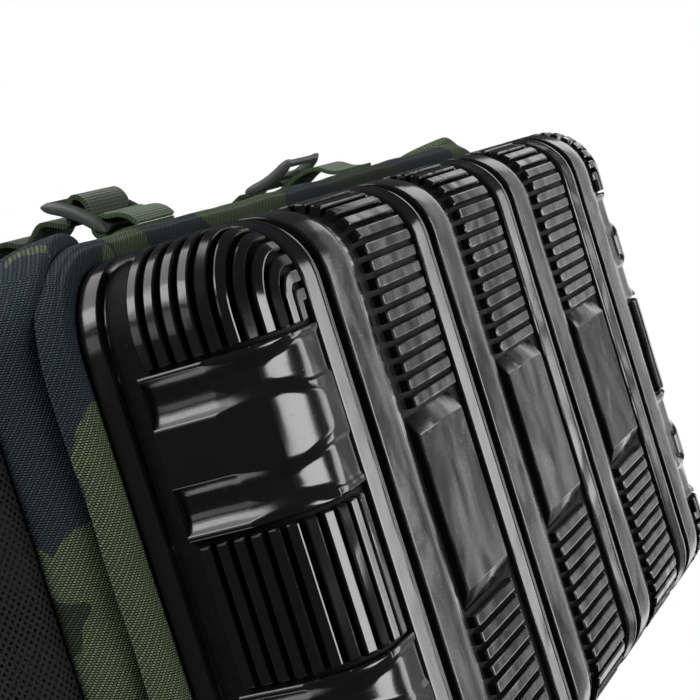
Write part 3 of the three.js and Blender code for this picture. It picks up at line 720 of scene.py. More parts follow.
def scooped_pad(shape, side_x, side_y):
    """The smooth pad on a side wall, with two half-round scoops that run out over the heel."""
    near, far = SIDE_RIBS_HALF + 1.5, CORNER_RIBS_FROM - 1.2
    ys = np.linspace(near, far, 118)
    run = WALL_RUN + HEEL_RUN + HALF_WIDTH - HEEL - PAD_END
    top, under = [], []
    for s in np.unique([*np.linspace(0, run, 150), 0.58, 0.60, 0.64]):
        rim = np.minimum(np.minimum(ys - near, far - ys), s)
        face = pad_depth(np.full(len(ys), s), ys) + 0.5 * (1 - smoothstep(0, 0.6, rim))
        for rows, depths in ((top, face), (under, np.full(len(ys), 5.0))):
            spots = [(y, *front_point(depth, s)) for y, depth in zip(ys, depths)]
            rows.append([(side_x * (HALF_WIDTH - out), side_y * y, up) for y, out, up in spots])
    shape.slab(top, under)


def tray_shell(shape):
    """The base's smooth wall, rim flange and inner face, as one closed body."""
    section = [(HEEL + 5, 6), (HEEL + 0.6, 6), *arc(HEEL, HEEL, 15, 1.5 * pi, pi, 10), (6, 30), (6, 51.6),
               (5.6, 52), (4.6, 52), (0.9, 52), (0.35, 51.8), (0, 51.3), (0, 46.5), (0.12, 46.15), (0.5, 46),
               (2.5, 45.8), (2.9, 45.6), (3, 45.2), (3, 40), (3, 30), *arc(HEEL, HEEL, 18, pi, 1.5 * pi, 14),
               (HEEL + 0.6, 3), (HEEL + 5, 3)]
    shape.tube([rounded(inset - HALF_WIDTH, HALF_WIDTH - inset, inset - HALF_DEPTH, HALF_DEPTH - inset,
                        PLAN_RADIUS - inset, 12, z) for inset, z in section])


def centre_plate(shape, middle):
    """The smooth plate in a tread column, with the slope that leads up to it from the treads."""
    rings = []
    x0, x1 = middle - COLUMN_HALF, middle + COLUMN_HALF
    slope = [(PLATE_HALF, 0), (PLATE_HALF + 0.6, 0.15), (PLATE_HALF + 6, 2.9), (PLATE_HALF + 6.6, 3.6)]
    for y, low in [(-y, rise) for y, rise in slope[::-1]] + slope:
        rings.append([(x0, y, 4.2), (x0, y, low + 0.6), (x0 + 0.2, y, low + 0.2), (x0 + 0.7, y, low),
                      (x1 - 0.7, y, low), (x1 - 0.2, y, low + 0.2), (x1, y, low + 0.6), (x1, y, 4.2)])
    shape.tube(rings)


FRONT_SHIFT = {-1: 4.0, 0: 1.6, 1: 0.8}


def tray_pads():
    """The four scooped pads, as one smooth piece."""
    shape = Shape()
    for side_x in (-1, 1):
        for side_y in (-1, 1):
            scooped_pad(shape, side_x, side_y)
    return shape.made("tray_pads", MOULDED, sharp=62)


def moulded_tray():
    """The base with its ridges, tread columns, plates and corner treads."""
    shape = Shape()
    tray_shell(shape)
    shell_faces = len(shape.faces)
    for step in (-1.5, -0.5, 0.5, 1.5):
        ridge(shape, step * COLUMN_PITCH, BEAD)
        ridge(shape, step * COLUMN_PITCH, LAND)
    for column in (-1, 0, 1):
        middle = column * COLUMN_PITCH
        centre_plate(shape, middle)
        for distance in TREADS:
            for side, over in ((-1, FRONT_SHIFT[column]), (1, 0)):
                start, end = middle - COLUMN_HALF + over, middle + COLUMN_HALF + over
                straight_tread(shape, distance, side, start, end, step_end=2.6)
    for distance in TREADS:
        if front_point(0, distance)[0] < HALF_WIDTH - RIB_END - TREAD_HALF:
            for side_x in (-1, 1):
                straight_tread(shape, distance, side_x, -SIDE_RIBS_HALF, SIDE_RIBS_HALF)
                for side_y in (-1, 1):
                    corner_tread(shape, distance, side_x, side_y)
    tray = shape.made("tray", MOULDED, sharp=20)
    tray.data.materials.append(RECESS)
    for face in tray.data.polygons:
        if face.index < shell_faces and face.center.z < 45.4 * MM:
            face.material_index = 1
    return tray

# ---- Fabric body ---------------------------------------------------------


def rounded_stations(half, y0, y1, radius, corner_steps, pitch, mark=()):
    """(points, outward normals) round a rounded rectangle, from the front's middle towards +X."""
    points, normals = [], []
    inner, near, far = half - radius, y0 + radius, y1 - radius
    marked = [round(abs(m), 4) for m in mark], [round(inner - m, 4) for m in mark]
    runs = (((0, y0), (inner, y0), (0, -1), marked[0]), ((half, near), (half, far), (1, 0), ()),
            ((inner, y1), (-inner, y1), (0, 1), ()), ((-half, far), (-half, near), (-1, 0), ()),
            ((-inner, y0), (0, y0), (0, -1), marked[1]))
    corners = ((inner, near), (inner, far), (-inner, far), (-inner, near), None)
    for quarter, ((start, end, normal, extra), corner) in enumerate(zip(runs, corners)):
        start, length = np.array(start, float), math.dist(start, end)
        spots = {*np.round(np.linspace(0, length, max(int(length / pitch), 2) + 1), 4), *extra}
        points += [start + (np.array(end) - start) * spot / length for spot in sorted(spots)[:-1]]
        normals += [normal] * (len(spots) - 1)
        for step in range(corner_steps if corner else 0):
            turn = (quarter - 1 + step / corner_steps) * pi / 2
            points.append(np.array(corner) + radius * np.array((cos(turn), sin(turn))))
            normals.append((cos(turn), sin(turn)))
    return np.array(points), np.array(normals)


def hem_roll_piece():
    """The padded hem round the base's rim, with its seam fold next to the base."""
    stations, normals = rounded_stations(178, -93.8, 91, 22, 12, 4.5)
    section = [(-5.5, 53.4), (-1.0, 52.8), (3.4, 52.5), (5.4, 52.6), (6.2, 52.9), (6.5, 53.5), (6.9, 54.3)]
    section += [(6.6 + 1.7 * sin(t), 57.6 - 3.6 * cos(t)) for t in np.linspace(0.5, pi - 0.5, 9)]
    section += [(6.0, HEM_TOP - 0.3), (4.0, HEM_TOP), (1.0, HEM_TOP + 0.6), (-5.5, HEM_TOP + 0.8)]
    rings = []
    for (x, y), (nx, ny) in zip(stations, normals):
        ring = np.array([(x + nx * out, y + ny * out, z) for out, z in section])
        push = [0.75 * cloth_noise(point, 26, 1) + 0.3 * cloth_noise(point, 9, 4) for point in ring]
        rings.append(ring + np.outer(push, (nx, ny, 0.25)))
    return lofted("hem_roll_cloth", rings, CAMO, sharp=70, levels=1, loop=True)


def band_line(side):
    """(point, outward normal, valley depth) along the side band, from the front, round the corner, to the back."""
    radius, wall, front = 22, BODY_HALF + 0.3, BODY_FRONT - 0.2
    stops = [((x, front), (0, -1), 0.0) for x in np.linspace(DOOR_HALF + 1.6, wall - radius, 3)[:-1]]
    turns = np.linspace(-pi / 2, 0, 17)
    corner = arc(wall - radius, front + radius, radius, -pi / 2, 0, 17)
    stops += [(at, (cos(turn), sin(turn)), smoothstep(-0.75, 0.1, turn)) for at, turn in zip(corner, turns)]
    stops += [((wall, y), (1, 0), 1.0) for y in np.linspace(front + radius, 87, 52)[1:]]
    return [((side * x, y), (side * nx, ny), deep) for (x, y), (nx, ny), deep in stops]


def side_band_piece(side):
    """The gusset band above the hem, folded into the hem at the front corner and puffed along the side."""
    stops = band_line(side)
    merged = [(-3.0, 58.8), (4.2, 57.6), (6.1, 58.6), (6.2, 60.4), (6.2, 62.2), (6.1, 65), (5.9, 69), (5.4, 74),
              (4.6, 78.5), (3.4, 80.6), (1.9, 81.4), (-0.6, 81.5)]
    parted = [(-3.0, 61.9), (-0.8, 61.9), (0.6, 62.2), (2.9, 63.2), (4.6, 65), (5.9, 68), (6.4, 72), (6.1, 76),
              (5.3, 79.3), (4.0, 81), (2.2, 81.5), (-0.6, 81.5)]
    merged, parted = np.array(merged), np.array(parted)
    rings = []
    for i, ((x, y), (nx, ny), deep) in enumerate(stops):
        section = merged + (parted - merged) * deep
        ends = min(i, len(stops) - 1 - i)
        reach = 1 - 0.6 * (1 - min(ends / 4.0, 1)) ** 2
        ring = []
        for out, z in section:
            out = out * reach - 1.2 * abs(ny) * (out > 0)
            point = np.array((x + nx * out, y + ny * out, z))
            puff = 1.1 * cloth_noise(point, 30, 5) + 0.5 * cloth_noise(point, 13, 9)
            point += np.array((nx, ny, 0)) * puff * (out > 2)
            point[2] += 0.6 * cloth_noise(point, 34, 8) * (66 < z < 79)
            ring.append(point)
        rings.append(ring)
    return lofted("side_band_cloth_" + ("left" if side < 0 else "right"), rings, CAMO, sharp=80, levels=1)


def wall_point(x, y, nx, ny, z):
    """Where the body's cloth lies: the panels bow out at the top and crease by the seams."""
    push = 0.0
    point = (x, y, z)
    rise = smoothstep(BODY_BOTTOM, BODY_BOTTOM + 30, z) * (1 - smoothstep(BODY_TOP - 26, BODY_TOP, z))
    if abs(nx) > 0.7:
        middle = 1 - smoothstep(0.45, 1.0, abs(y + 4) / 97)
        bow = 7.5 * smoothstep(236, 300, z) * middle * rise
        push = bow - 1.1 * (1 - smoothstep(236, 280, z))
        push += (1.6 if z > 240 else 0.35) * cloth_noise(point, 44, 2) * rise
    elif ny < -0.7:
        middle = 1 - smoothstep(0.5, 1.0, abs(x) / 165)
        bow = 7.0 * smoothstep(256, 310, z) * middle * rise
        push = bow + 1.5 * cloth_noise(point, 46, 11) * rise * (1 if z > 256 else 0.3)
    elif ny > 0.7:
        push = -0.5 + 0.35 * cloth_noise(point, 45, 4) * rise
    else:
        push = 0.4 * cloth_noise(point, 30, 6) * rise
    return np.array((x + nx * push, y + ny * push, z))


def body_piece():
    """The bag's own cloth: one lofted wall all the way round, open for the door."""
    opening = DOOR_HALF + 0.6
    stations, normals = rounded_stations(BODY_HALF, BODY_FRONT, BODY_BACK, 21, 8, 8.0, (opening,))
    heights = np.unique(np.round([HEM_TOP - 1.5, *np.linspace(BODY_BOTTOM, DOOR_TOP + 0.6, 24),
                                  *np.linspace(DOOR_TOP + 0.6, BODY_TOP, 25)], 3))
    m, faces = len(stations), []
    for r, top in enumerate(heights[1:]):
        for c in range(m):
            d = (c + 1) % m
            x, y = (stations[c] + stations[d]) / 2
            in_door = y < BODY_FRONT + 1 and abs(x) < opening - 0.01
            if not (in_door and BODY_BOTTOM < top - 0.01 <= DOOR_TOP + 0.7):
                faces.append((r * m + c, r * m + d, (r + 1) * m + d, (r + 1) * m + c))
    shape = Shape()
    shape.add([wall_point(*at, *normal, z) for z in heights for at, normal in zip(stations, normals)], faces)
    piece = shape.made("body_cloth", CAMO, sharp=75)
    piece.data.materials.append(LINING)
    thick = piece.modifiers.new("thickness", "SOLIDIFY")
    thick.thickness, thick.offset = 5.6 * MM, -1
    thick.use_even_offset = True
    thick.material_offset, thick.material_offset_rim = 1, 0
    first = piece.data.polygons[0]
    if Vector((*first.center[:2], 0)).dot(first.normal) <= 0:
        piece.data.flip_normals()
    return piece


def body_trim():
    """Piping down the four corners, and the stitches beside it and round the mouth."""
    piping, thread = Shape(), Shape()
    stations, normals = rounded_stations(BODY_HALF, BODY_FRONT, BODY_BACK, 21, 8, 8.0)
    upward = np.column_stack([normals, np.zeros(len(normals))])

    def seam(i, z, lift):
        return wall_point(*stations[i], *normals[i], z) + upward[i] * lift

    heights = np.linspace(BODY_BOTTOM + 1, BODY_TOP - 2, 60)
    for i in [i for i, (nx, ny) in enumerate(normals) if abs(abs(nx) - abs(ny)) < 0.15]:
        round_tube(piping, [seam(i, z, 0.7) for z in heights], 1.7)
        for j in ((i - 3) % len(stations), (i + 3) % len(stations)):
            stitches(thread, [seam(j, z, 0.1) for z in heights], upward[j])
    stitches(thread, [seam(i, BODY_TOP - 8, 0.2) for i in range(len(stations))], upward)
    return piping.made("body_piping", BINDING), thread.made("body_stitches", THREAD)


def pocket_line(side, inset=0.0):
    """(x, y) and outward normals along a side pocket's three walls, from front to back."""
    inner, outer = BODY_HALF + 0.4, BODY_HALF + 13.6 - inset
    radius, steps = 9, 10
    middle, front, back = outer - radius, radius - 79.6 + inset, 74.6 - inset - radius
    along = np.linspace(front, back, 22)[1:-1]
    points = [(inner, front - radius), *arc(middle, front, radius, -pi / 2, 0, steps),
              *((outer, y) for y in along), *arc(middle, back, radius, 0, pi / 2, steps), (inner, back + radius)]
    normals = [(0, -1), *arc(0, 0, 1, -pi / 2, 0, steps), *[(1, 0)] * len(along),
               *arc(0, 0, 1, 0, pi / 2, steps), (0, 1)]
    return np.array(points) * (side, 1), np.array(normals) * (side, 1)


def pocket_pieces(side, name):
    """The mesh pouch, its gathered elastic binding and the binding's stitches."""
    points, normals = pocket_line(side)
    rows = []
    for z in (81.4, 82.6, 84.6, *np.linspace(88, 222.5, 20)):
        rise = sin(pi * min(max((z - 81) / 150, 0), 1)) ** 0.8
        tuck = 3.2 * (1 - smoothstep(81, 88, z))
        row = []
        for (x, y), (nx, ny) in zip(points, normals):
            out = (3.2 * rise * abs(nx) - tuck) * (abs(x) > BODY_HALF + 1)
            wave = 0.8 * cloth_noise((x, y, z), 24, 7) * (abs(x) > BODY_HALF + 3)
            row.append((x + nx * (out + wave), y + ny * (out * 0.4 + wave * 0.4), z))
        rows.append(row)
    shape = Shape()
    shape.grid(rows)
    shape.grid([[(side * (BODY_HALF + 0.4), p[1], 81.5) for p in rows[0]], rows[0]])
    pouch = shape.made("pocket_mesh_" + name, POCKET, weld=True)
    thick = pouch.modifiers.new("thickness", "SOLIDIFY")
    thick.thickness, thick.offset = 1.1 * MM, 0
    fine = np.linspace(0, len(points) - 1, 190)
    points, normals = (np.array([read(rows, range(len(rows)), t) for t in fine])
                       for rows in pocket_line(side, 0.4))
    run = distances(points)
    gather = 0.55 * np.sin(run * 2 * pi / 6.5) + 0.3 * np.sin(run * 2 * pi / 4.1 + 1)
    section = [(-1.1, 220.6), (1.0, 220.4), (1.35, 222), (1.2, 226), (1.35, 230), (0.9, 231.8), (-0.9, 231.9),
               (-1.3, 230), (-1.15, 226), (-1.3, 222)]
    rings = []
    for (x, y), (nx, ny), g in zip(points, normals, gather):
        rings.append([(x + nx * (out + g * (0.35 + 0.65 * abs(z - 226) / 6) - 0.3),
                       y + ny * (out + g * 0.6 - 0.3), z + 0.35 * g) for out, z in section])
    elastic = lofted("pocket_elastic_" + name, rings, BINDING, levels=1)
    thread = Shape()
    for z in (222.4, 229.8):
        line = points + normals * (1.25 + gather * 0.6 - 0.3)[:, None]
        stitches(thread, np.column_stack([line, np.full(len(line), z)]),
                 np.column_stack([normals, np.zeros(len(line))]), 3.4, 2.3)
    return pouch, elastic, thread.made("pocket_stitches_" + name, THREAD)

# ---- Door, lid and zips --------------------------------------------------


def door_piece():
    """The padded door: its cloth swells between the straps, which hold it flat."""
    half, bottom, top = DOOR_HALF, DOOR_BOTTOM, DOOR_TOP
    xs = [-half, 0.4 - half, 1.9 - half, *np.linspace(-145, 145, 65), half - 1.9, half - 0.4, half]
    zs = [bottom, bottom + 0.4, bottom + 1.8, *np.linspace(72, 245, 42), top - 1.9, top - 0.4, top]
    front = []
    for z in zs:
        row = []
        for x in xs:
            edge = min(half - abs(x), z - bottom, top - z)
            rolled = 1.9 * (1 - smoothstep(0, 2.4, edge)) ** 2
            held = smoothstep(15, 34, abs(abs(x) - LASH_X))
            swell = 2.6 * smoothstep(14, 60, edge) * held
            crease = (0.35 + 0.5 * held) * cloth_noise((x, 0, z), 30, 9) * smoothstep(8, 30, edge)
            row.append((x, BODY_FRONT + rolled - swell - crease * 0.8, z))
        front.append(row)
    shape = Shape()
    shape.slab(front, [[(x, BODY_FRONT + 5.7, z) for x in xs] for z in zs])
    return shape.made("door_cloth", CAMO, sharp=50)


def u_tape_line(half, bottom, top, radius, y):
    """Up one side, across the top with round corners, and down the other side."""
    inner, middle = half - radius, top - radius
    line = [(-half, z) for z in np.linspace(bottom, middle, 24)]
    line += arc(-inner, middle, radius, pi, pi / 2, 8)[1:]
    line += [(x, top) for x in np.linspace(-inner, inner, 30)[1:]]
    line += arc(inner, middle, radius, pi / 2, 0, 8)[1:]
    line += [(half, z) for z in np.linspace(middle, bottom, 24)[1:]]
    return np.array([(x, y, z) for x, z in line])


def zip_teeth(shape, line, outward, height=0.75):
    """Two meshed rows of coil teeth along a line."""
    run = distances(line)
    outward = np.broadcast_to(np.asarray(outward, float), line.shape)
    for i, at in enumerate(np.arange(1, run[-1] - 1, 0.95)):
        middle = read(line, run, at)
        ahead = unit(read(line, run, at + 0.4) - middle)
        out = read(outward, run, at)
        side = np.cross(ahead, out) * (1 if i % 2 else -1)
        rings = []
        for reach, size in ((-0.45, 0.22), (0.2, 0.46), (1.7, 0.42), (2.3, 0.3)):
            centre = middle + side * reach + out * (height * (0.75 if reach < 2 else 0.45))
            rings.append([centre + ahead * a * size + out * b * size
                          for a, b in ((-1, -0.7), (1, -0.7), (1, 0.7), (-1, 0.7))])
        shape.tube(rings)


def door_zip():
    """The door's zip: tape up both sides and across the top, with its teeth and stitches."""
    line = u_tape_line(142.5, DOOR_BOTTOM + 12.5, DOOR_TOP - 7, 12, BODY_FRONT - 1.0)
    across = np.cross(np.gradient(line, axis=0), (0, -1, 0))
    tape = banded("door_zip_cloth", line, across, 10.5, 1.2, TAPE)
    teeth, thread = Shape(), Shape()
    zip_teeth(teeth, line + (0, -0.5, 0), (0, -1, 0))
    for half, top in ((146.6, DOOR_TOP - 3), (138.4, DOOR_TOP - 11)):
        seam = u_tape_line(half, DOOR_BOTTOM + 13, top, 12 if half > 140 else 8, BODY_FRONT - 1.65)
        stitches(thread, seam, (0, -1, 0), 3.2, 2.2, 0.26)
    return tape, teeth.made("door_zip_teeth", COIL, sharp=30), thread.made("door_stitches", THREAD)


def lid_zip():
    """The lid's zip, which stands on the body's top edge along both sides and the front."""
    half, radius, z = BODY_HALF - 1.6, 16, 441.7
    inner, corner, front, back = half - radius, BODY_FRONT + 17.6, BODY_FRONT + 18, BODY_BACK - 8
    line = [(-half, y) for y in np.linspace(back, front, 26)]
    line += arc(-inner, corner, radius, pi, 1.5 * pi, 9)[1:]
    line += [(x, corner - radius) for x in np.linspace(-inner, inner, 40)[1:]]
    line += arc(inner, corner, radius, 1.5 * pi, 2 * pi, 9)[1:]
    line += [(half, y) for y in np.linspace(front, back, 26)[1:]]
    line = np.array([(x, y, z) for x, y in line])
    tape = banded("lid_zip_cloth", line, (0, 0, 1), 3.4, 1.2, TAPE)
    out = unit(np.cross(np.gradient(line, axis=0), (0, 0, 1)))
    teeth = Shape()
    zip_teeth(teeth, line + out * 0.4, out, 0.6)
    return tape, teeth.made("lid_zip_teeth", COIL, sharp=30)


def lid_piece():
    """The padded lid: a crowned cap with a rolled edge."""
    x1, y0, y1 = BODY_HALF + 2, BODY_FRONT - 2, BODY_BACK - 0.6
    rows = [(9, 443.6), (3, 443.4), (0.6, 443.9), (0, 445.2), (-0.3, 447.5), (0.2, 449.6), (1.0, 450.8),
            (1.0, 452.0), (1.6, 453.4), (3.4, 455.0), (6.5, 456.4), (12, 457.8), (20, 458.9), (32, 460.0),
            (48, 460.9), (66, 461.5), (84, 461.8)]
    outer, counts = [], None
    for inset, z in rows:
        ring = np.array(rounded(-x1 + inset, x1 - inset, y0 + inset, y1 - inset, max(24 - inset * 0.6, 4), 10, z))
        ahead = np.roll(ring, -1, 0) - ring
        if counts is None:
            counts = [max(int(np.linalg.norm(step) / 9), 1) for step in ahead]
        points = np.array([p + step * s / n for p, step, n in zip(ring, ahead, counts) for s in range(n)])
        for point in points:
            if z > 452:
                crown = 0.9 * cloth_noise(point, 42, 3) + 0.4 * cloth_noise(point, 16, 5)
                point[2] += crown * min((z - 452) / 5, 1)
            else:
                point[:2] *= 1 + 0.0012 * cloth_noise(point, 24, 6)
        outer.append(points)
    trim, thread = Shape(), Shape()
    edge, top = outer[6], outer[11]
    away = unit((edge - (0, -4, 0)) * (1, 1, 0))
    round_tube(trim, edge + away * 0.3 + (0, 0, 0.5), 1.8, loop=True)
    stitches(thread, np.vstack([top, top[:1]]) + (0, 0, 0.15), (0, 0, 1))
    return (lofted("lid_cloth", outer, CAMO, sharp=70), trim.made("lid_piping", BINDING),
            thread.made("lid_stitches", THREAD))


def slider_pieces(side, front, z, name):
    """A zip slider with its bridge, riding on the zip."""
    x = side * 9
    shape = Shape()
    rings = []
    for along, half, deep in ((-5, 2.8, 1.1), (-4.4, 3.7, 1.6), (-1, 4.4, 1.9), (3, 3.6, 1.9), (4.4, 2.9, 1.6),
                              (5, 2.2, 1.1)):
        rings.append([(x + half * u, front - 2.0 + deep * v, z + along)
                      for u, v in ((-1, -0.5), (-0.8, -0.85), (-0.3, -1), (0.3, -1), (0.8, -0.85), (1, -0.5),
                                   (1, 0.6), (0.8, 1), (-0.8, 1), (-1, 0.6))])
    shape.tube(rings)
    bridge = [(x, front - 3.4, z + 3.2), (x, front - 4.3, z + 2.4), (x, front - 4.5, z + 0.2),
              (x, front - 4.3, z - 2.0), (x, front - 3.4, z - 3.0)]
    round_tube(shape, curve_points(bridge, 4), 0.85, 8)
    return shape.made(name, METAL, sharp=50, levels=1)


def pull_piece(side, front, z, name):
    """A zip pull: a metal ring through the bridge and a moulded grip with finger ribs."""
    x, y, top = side * 9, front - 5.4, z - 2
    shape = Shape()
    ring = [(x + 2.0 * c, y + 0.25 * (c * c - s * s), top - 2.2 + 2.2 * s) for c, s in circle(16)]
    round_tube(shape, ring, 0.6, 7, loop=True)
    rings = []
    for down in np.linspace(3.4, 26, 34):
        half = 3.1 * dome(min(down - 3.4, 26 - down), 2.6, 0.02) * (0.82 + 0.18 * smoothstep(6, 15, down))
        deep = 0.75 + 0.25 * (0.5 + 0.5 * cos(down * 2 * pi / 2.6)) * (7 < down < 23)
        rings.append([(x + half * c, y + deep * power(s, 0.6), top - down) for c, s in circle(14)])
    shape.tube(rings)
    return shape.made(name, PLASTIC, sharp=45)


def lined(panel, axis, way):
    """Puts the lining on a panel's faces that look into the bag."""
    panel.data.materials.append(LINING)
    for face in panel.data.polygons:
        if face.normal[axis] * way > 0.7:
            face.material_index = 1
    return panel


def lid_hinge_piece():
    """The strip of cloth that the lid turns on, sewn to the back panel and to the lid."""
    line = curve_points([(0, 93.8, 434), (0, 94.1, 438.5), (0, 94.3, 443), (0, 93.9, 446.5), (0, 93.3, 449.4)], 5)
    return banded("lid_hinge_strip", line, (1, 0, 0), 312, 1.0, CAMO)

# ---- Webbing and buckles -------------------------------------------------


def lock_frame(hinge, tilt):
    """Turns a buckle's own (across, through, along) into the pack's frame."""
    def place(across, through, along):
        return np.array((hinge[0] + across, hinge[1] + through * cos(tilt) + along * sin(tilt),
                         hinge[2] - through * sin(tilt) + along * cos(tilt)))
    return place


def ladder_lock_piece(name, hinge, tilt, bow=1.6):
    """A ladder-lock: a bowed frame with three bars, the end one lipped for a thumb."""
    place = lock_frame(hinge, tilt)
    shape = Shape()

    def arch(along):
        return -bow * (1 - ((along - 11) / 11) ** 2)

    for along, wide, deep, drop, ripple in ((1.7, 1.7, 1.3, 0, 0), (11.0, 1.9, 1.25, 0.2, 0.12),
                                            (20.2, 1.8, 1.15, 0, 0)):
        rings = []
        for u in np.linspace(-13.4, 13.4, 30):
            size = deep * (1 + ripple * cos(u * 2 * pi / 2.2))
            rings.append([place(u, arch(along) + drop + size * power(s, 0.7), along + wide * power(c, 0.7))
                          for c, s in circle(12)])
        shape.tube(rings)
    for side in (-1, 1):
        rings = []
        for along in np.linspace(-0.2, 22.2, 26):
            size = dome(min(along + 0.2, 22.2 - along), 5, 0.06)
            rings.append([place(side * (13.8 + 2.1 * power(c, 0.6) * (0.6 + 0.4 * size)),
                                arch(along) + 2.1 * size * power(s, 0.7), along) for c, s in circle(12)])
        shape.tube(rings)
    return shape.made(name, PLASTIC, sharp=50)


def lash_pieces():
    """Both lash straps: sewn anchor loops, slack webbing and free ends, and their stitches."""
    face = BODY_FRONT - 1.4

    def lash(name, start, stops, steps, thickness, material):
        """Webbing through some start points, then through (out from the door, up) stops."""
        side = LASH_X if name.endswith("right") else -LASH_X
        line = curve_points([*start, *((side, face - out, z) for out, z in stops)], steps)
        return banded(name, line, (1, 0, 0), 25, thickness, material)

    # left: the anchor loops round the buckle's low bar and the strap round its middle bar
    place = lock_frame(*LASH_LOCKS["left"])
    low, middle = place(0, 0, 1.7), place(0, -1.4, 11)
    loop = [(-LASH_X, face - 0.4, 69.8), (-LASH_X, face - 0.5, 74)]
    for turn in np.linspace(1.45, 0.3, 9) * pi:
        reach = 3.7 if sin(turn) > 0 else 3.0
        loop.append(low + (0, -reach * sin(turn), -3.7 * cos(turn)))
    strap = []
    for turn in np.linspace(-0.5, 1.05, 13) * pi:
        reach = 3.0 + 1.5 * max(sin(turn), 0)
        strap.append(middle + (0, -reach * sin(turn) - 0.6, -3.6 * cos(turn)))
    strap.append(middle + (0, 2.4, 5.5))
    loops = [lash("lash_loop_left", loop, ((5.6, 74.4), (3.9, 71.4), (1.6, 69.6)), 5, 1.4, WEBBING)]
    straps = [lash("lash_webbing_left", strap,
                   ((9.8, 101), (5.4, 108), (7.8, 117), (3.6, 127), (5.2, 138), (1.2, 151), (2.8, 165),
                    (0.8, 180), (0.8, 205), (0.8, 231)), 6, 1.5, WEBBING_DARK)]
    # right: the buckle points down; the anchor arches up to it from the door's lower edge
    loops.append(lash("lash_loop_right", (), ((0.7, 69.8), (0.8, 72.5), (1.9, 77), (5.0, 83), (4.4, 91),
                                              (1.4, 98), (0.8, 106)), 6, 1.5, WEBBING))
    straps.append(lash("lash_webbing_right", (), ((3.6, 116), (1.0, 124), (2.6, 140), (0.9, 158), (0.8, 190),
                                                  (0.8, 231)), 6, 1.5, WEBBING_DARK))
    thread = Shape()
    low, high = 219, 230
    for side in (-LASH_X, LASH_X):
        left, right = side - 11, side + 11
        for a, b in (((left, low), (right, low)), ((left, high), (right, high)), ((left, low), (left, high)),
                     ((right, low), (right, high)), ((left, low), (right, high)), ((right, low), (left, high))):
            stitches(thread, [(x, face - 1.65, z) for x, z in (a, b)], (0, -1, 0), 2.6, 1.9, 0.28)
    return loops, straps, thread.made("lash_stitches", THREAD)


STRAP_PATH = [(84, 107, 414), (85, 136, 407), (94, 161, 368), (107, 173, 310), (120, 167, 246), (130, 148, 196),
              (137, 130, 166)]
TAIL_PATH = [(141, 132, 141), (142, 131, 120), (142.5, 127, 98), (143, 125, 86)]
LOWER_PATH = [(141, 116, 137), (144, 107, 121), (147, 99, 103), (149.5, 94.9, 84), (150.5, 94.3, 71)]


def mirrored_line(points, side):
    line = np.array(points, float)
    line[:, 0] *= side
    return line


def shoulder_strap_piece(side, name):
    """A padded strap with crowned foam, bound edges, a webbing run and the loop that keeps its buckle."""
    line = curve_points(mirrored_line([(83.5, 98.6, 430), (83.7, 100.5, 421)] + STRAP_PATH, side), 9)
    tangent = unit(np.gradient(line, axis=0))
    across = unit(np.array((1.0, 0, 0)) - tangent * tangent[:, :1])
    normal = np.cross(across, tangent)
    normal *= np.sign((normal * (0, 1, 0.35)).sum(1))[:, None]
    share = np.linspace(0, 1, len(line))
    width = 58 - 20 * smoothstep(0.8, 1.0, share) - 4 * smoothstep(0.12, 0.0, share)
    thick = 10.6 - 4 * smoothstep(0.86, 1.0, share) - 2.5 * (1 - smoothstep(0.0, 0.12, share))
    rings = []
    for p, a, n, w, t in zip(line, across, normal, width, thick):
        ring = []
        for c, s in circle(28):
            u = power(c, 0.75)
            crown = power(s, 0.62) * (1 - 0.1 * (1 - abs(u)))
            point = p + a * u * w / 2 + n * crown * t / 2
            ring.append(point + n * 0.55 * cloth_noise(point, 22, 12 + side) * s)
        rings.append(ring)
    strap = lofted("shoulder_pad_" + name, rings, CAMO, sharp=70, levels=1)
    trim, thread = Shape(), Shape()
    inside = slice(6, len(line) - 3)
    lifted = line + normal * (thick / 2 + 0.35)[:, None]
    for edge in (-1, 1):
        rim = line + across * (edge * (width / 2 - 0.4))[:, None]
        trim.tube([[p + a * 2.0 * c + n * 3.0 * s for c, s in circle(10)] for p, a, n in zip(rim, across, normal)])
        stitches(thread, lifted[inside] + across[inside] * (edge * 8.4) + normal[inside] * 0.75,
                 normal[inside], 3.4, 2.4, 0.28)
        stitches(thread, line + across * (edge * (width / 2 - 5.2))[:, None] + normal * (thick * 0.46)[:, None],
                 normal, 3.6, 2.5, 0.3)
    bar = np.array((side * 138.5, 126.7, 158.9))
    ahead, out, end = tangent[-1], normal[-1], line[-1]
    loop = [end - ahead * 9 + out * 1.2, end + out * 1.4]
    loop += [bar + 3.1 * (out * cos(t) + ahead * sin(t)) for t in np.linspace(0, pi, 7)]
    loop += [end - out * 1.4, end - ahead * 9 - out * 1.2]
    return (strap, trim.made("shoulder_binding_" + name, BINDING),
            banded("shoulder_run_" + name, lifted[inside], across[inside], 20, 1.3, WEBBING_DARK),
            banded("shoulder_keeper_" + name, curve_points(loop, 5), (1, 0, 0), 23, 1.4, WEBBING_DARK),
            thread.made("shoulder_stitches_" + name, THREAD))


def strap_root_piece(side, name):
    """The stitched patch that sews a shoulder strap to the back panel."""
    x = side * 84
    patch = lofted("strap_root_" + name, [
        upright(PAD_FACE + out, x - 29 + cut, x + 29 - cut, 404 + cut, 432 - cut, 4, 4)
        for out, cut in ((0, 0), (1.6, 0), (2.6, 1.2), (2.8, 4))], CAMO, sharp=50)
    thread = Shape()
    corners = [(x + across, PAD_FACE + 2.9, z)
               for across, z in ((-24, 408), (24, 408), (24, 428), (-24, 428), (-24, 408))]
    for seam in zip(corners[:-1], corners[1:]):
        stitches(thread, seam, (0, 1, 0), 3.2, 2.3, 0.3)
    return patch, thread.made("strap_root_stitches_" + name, THREAD)


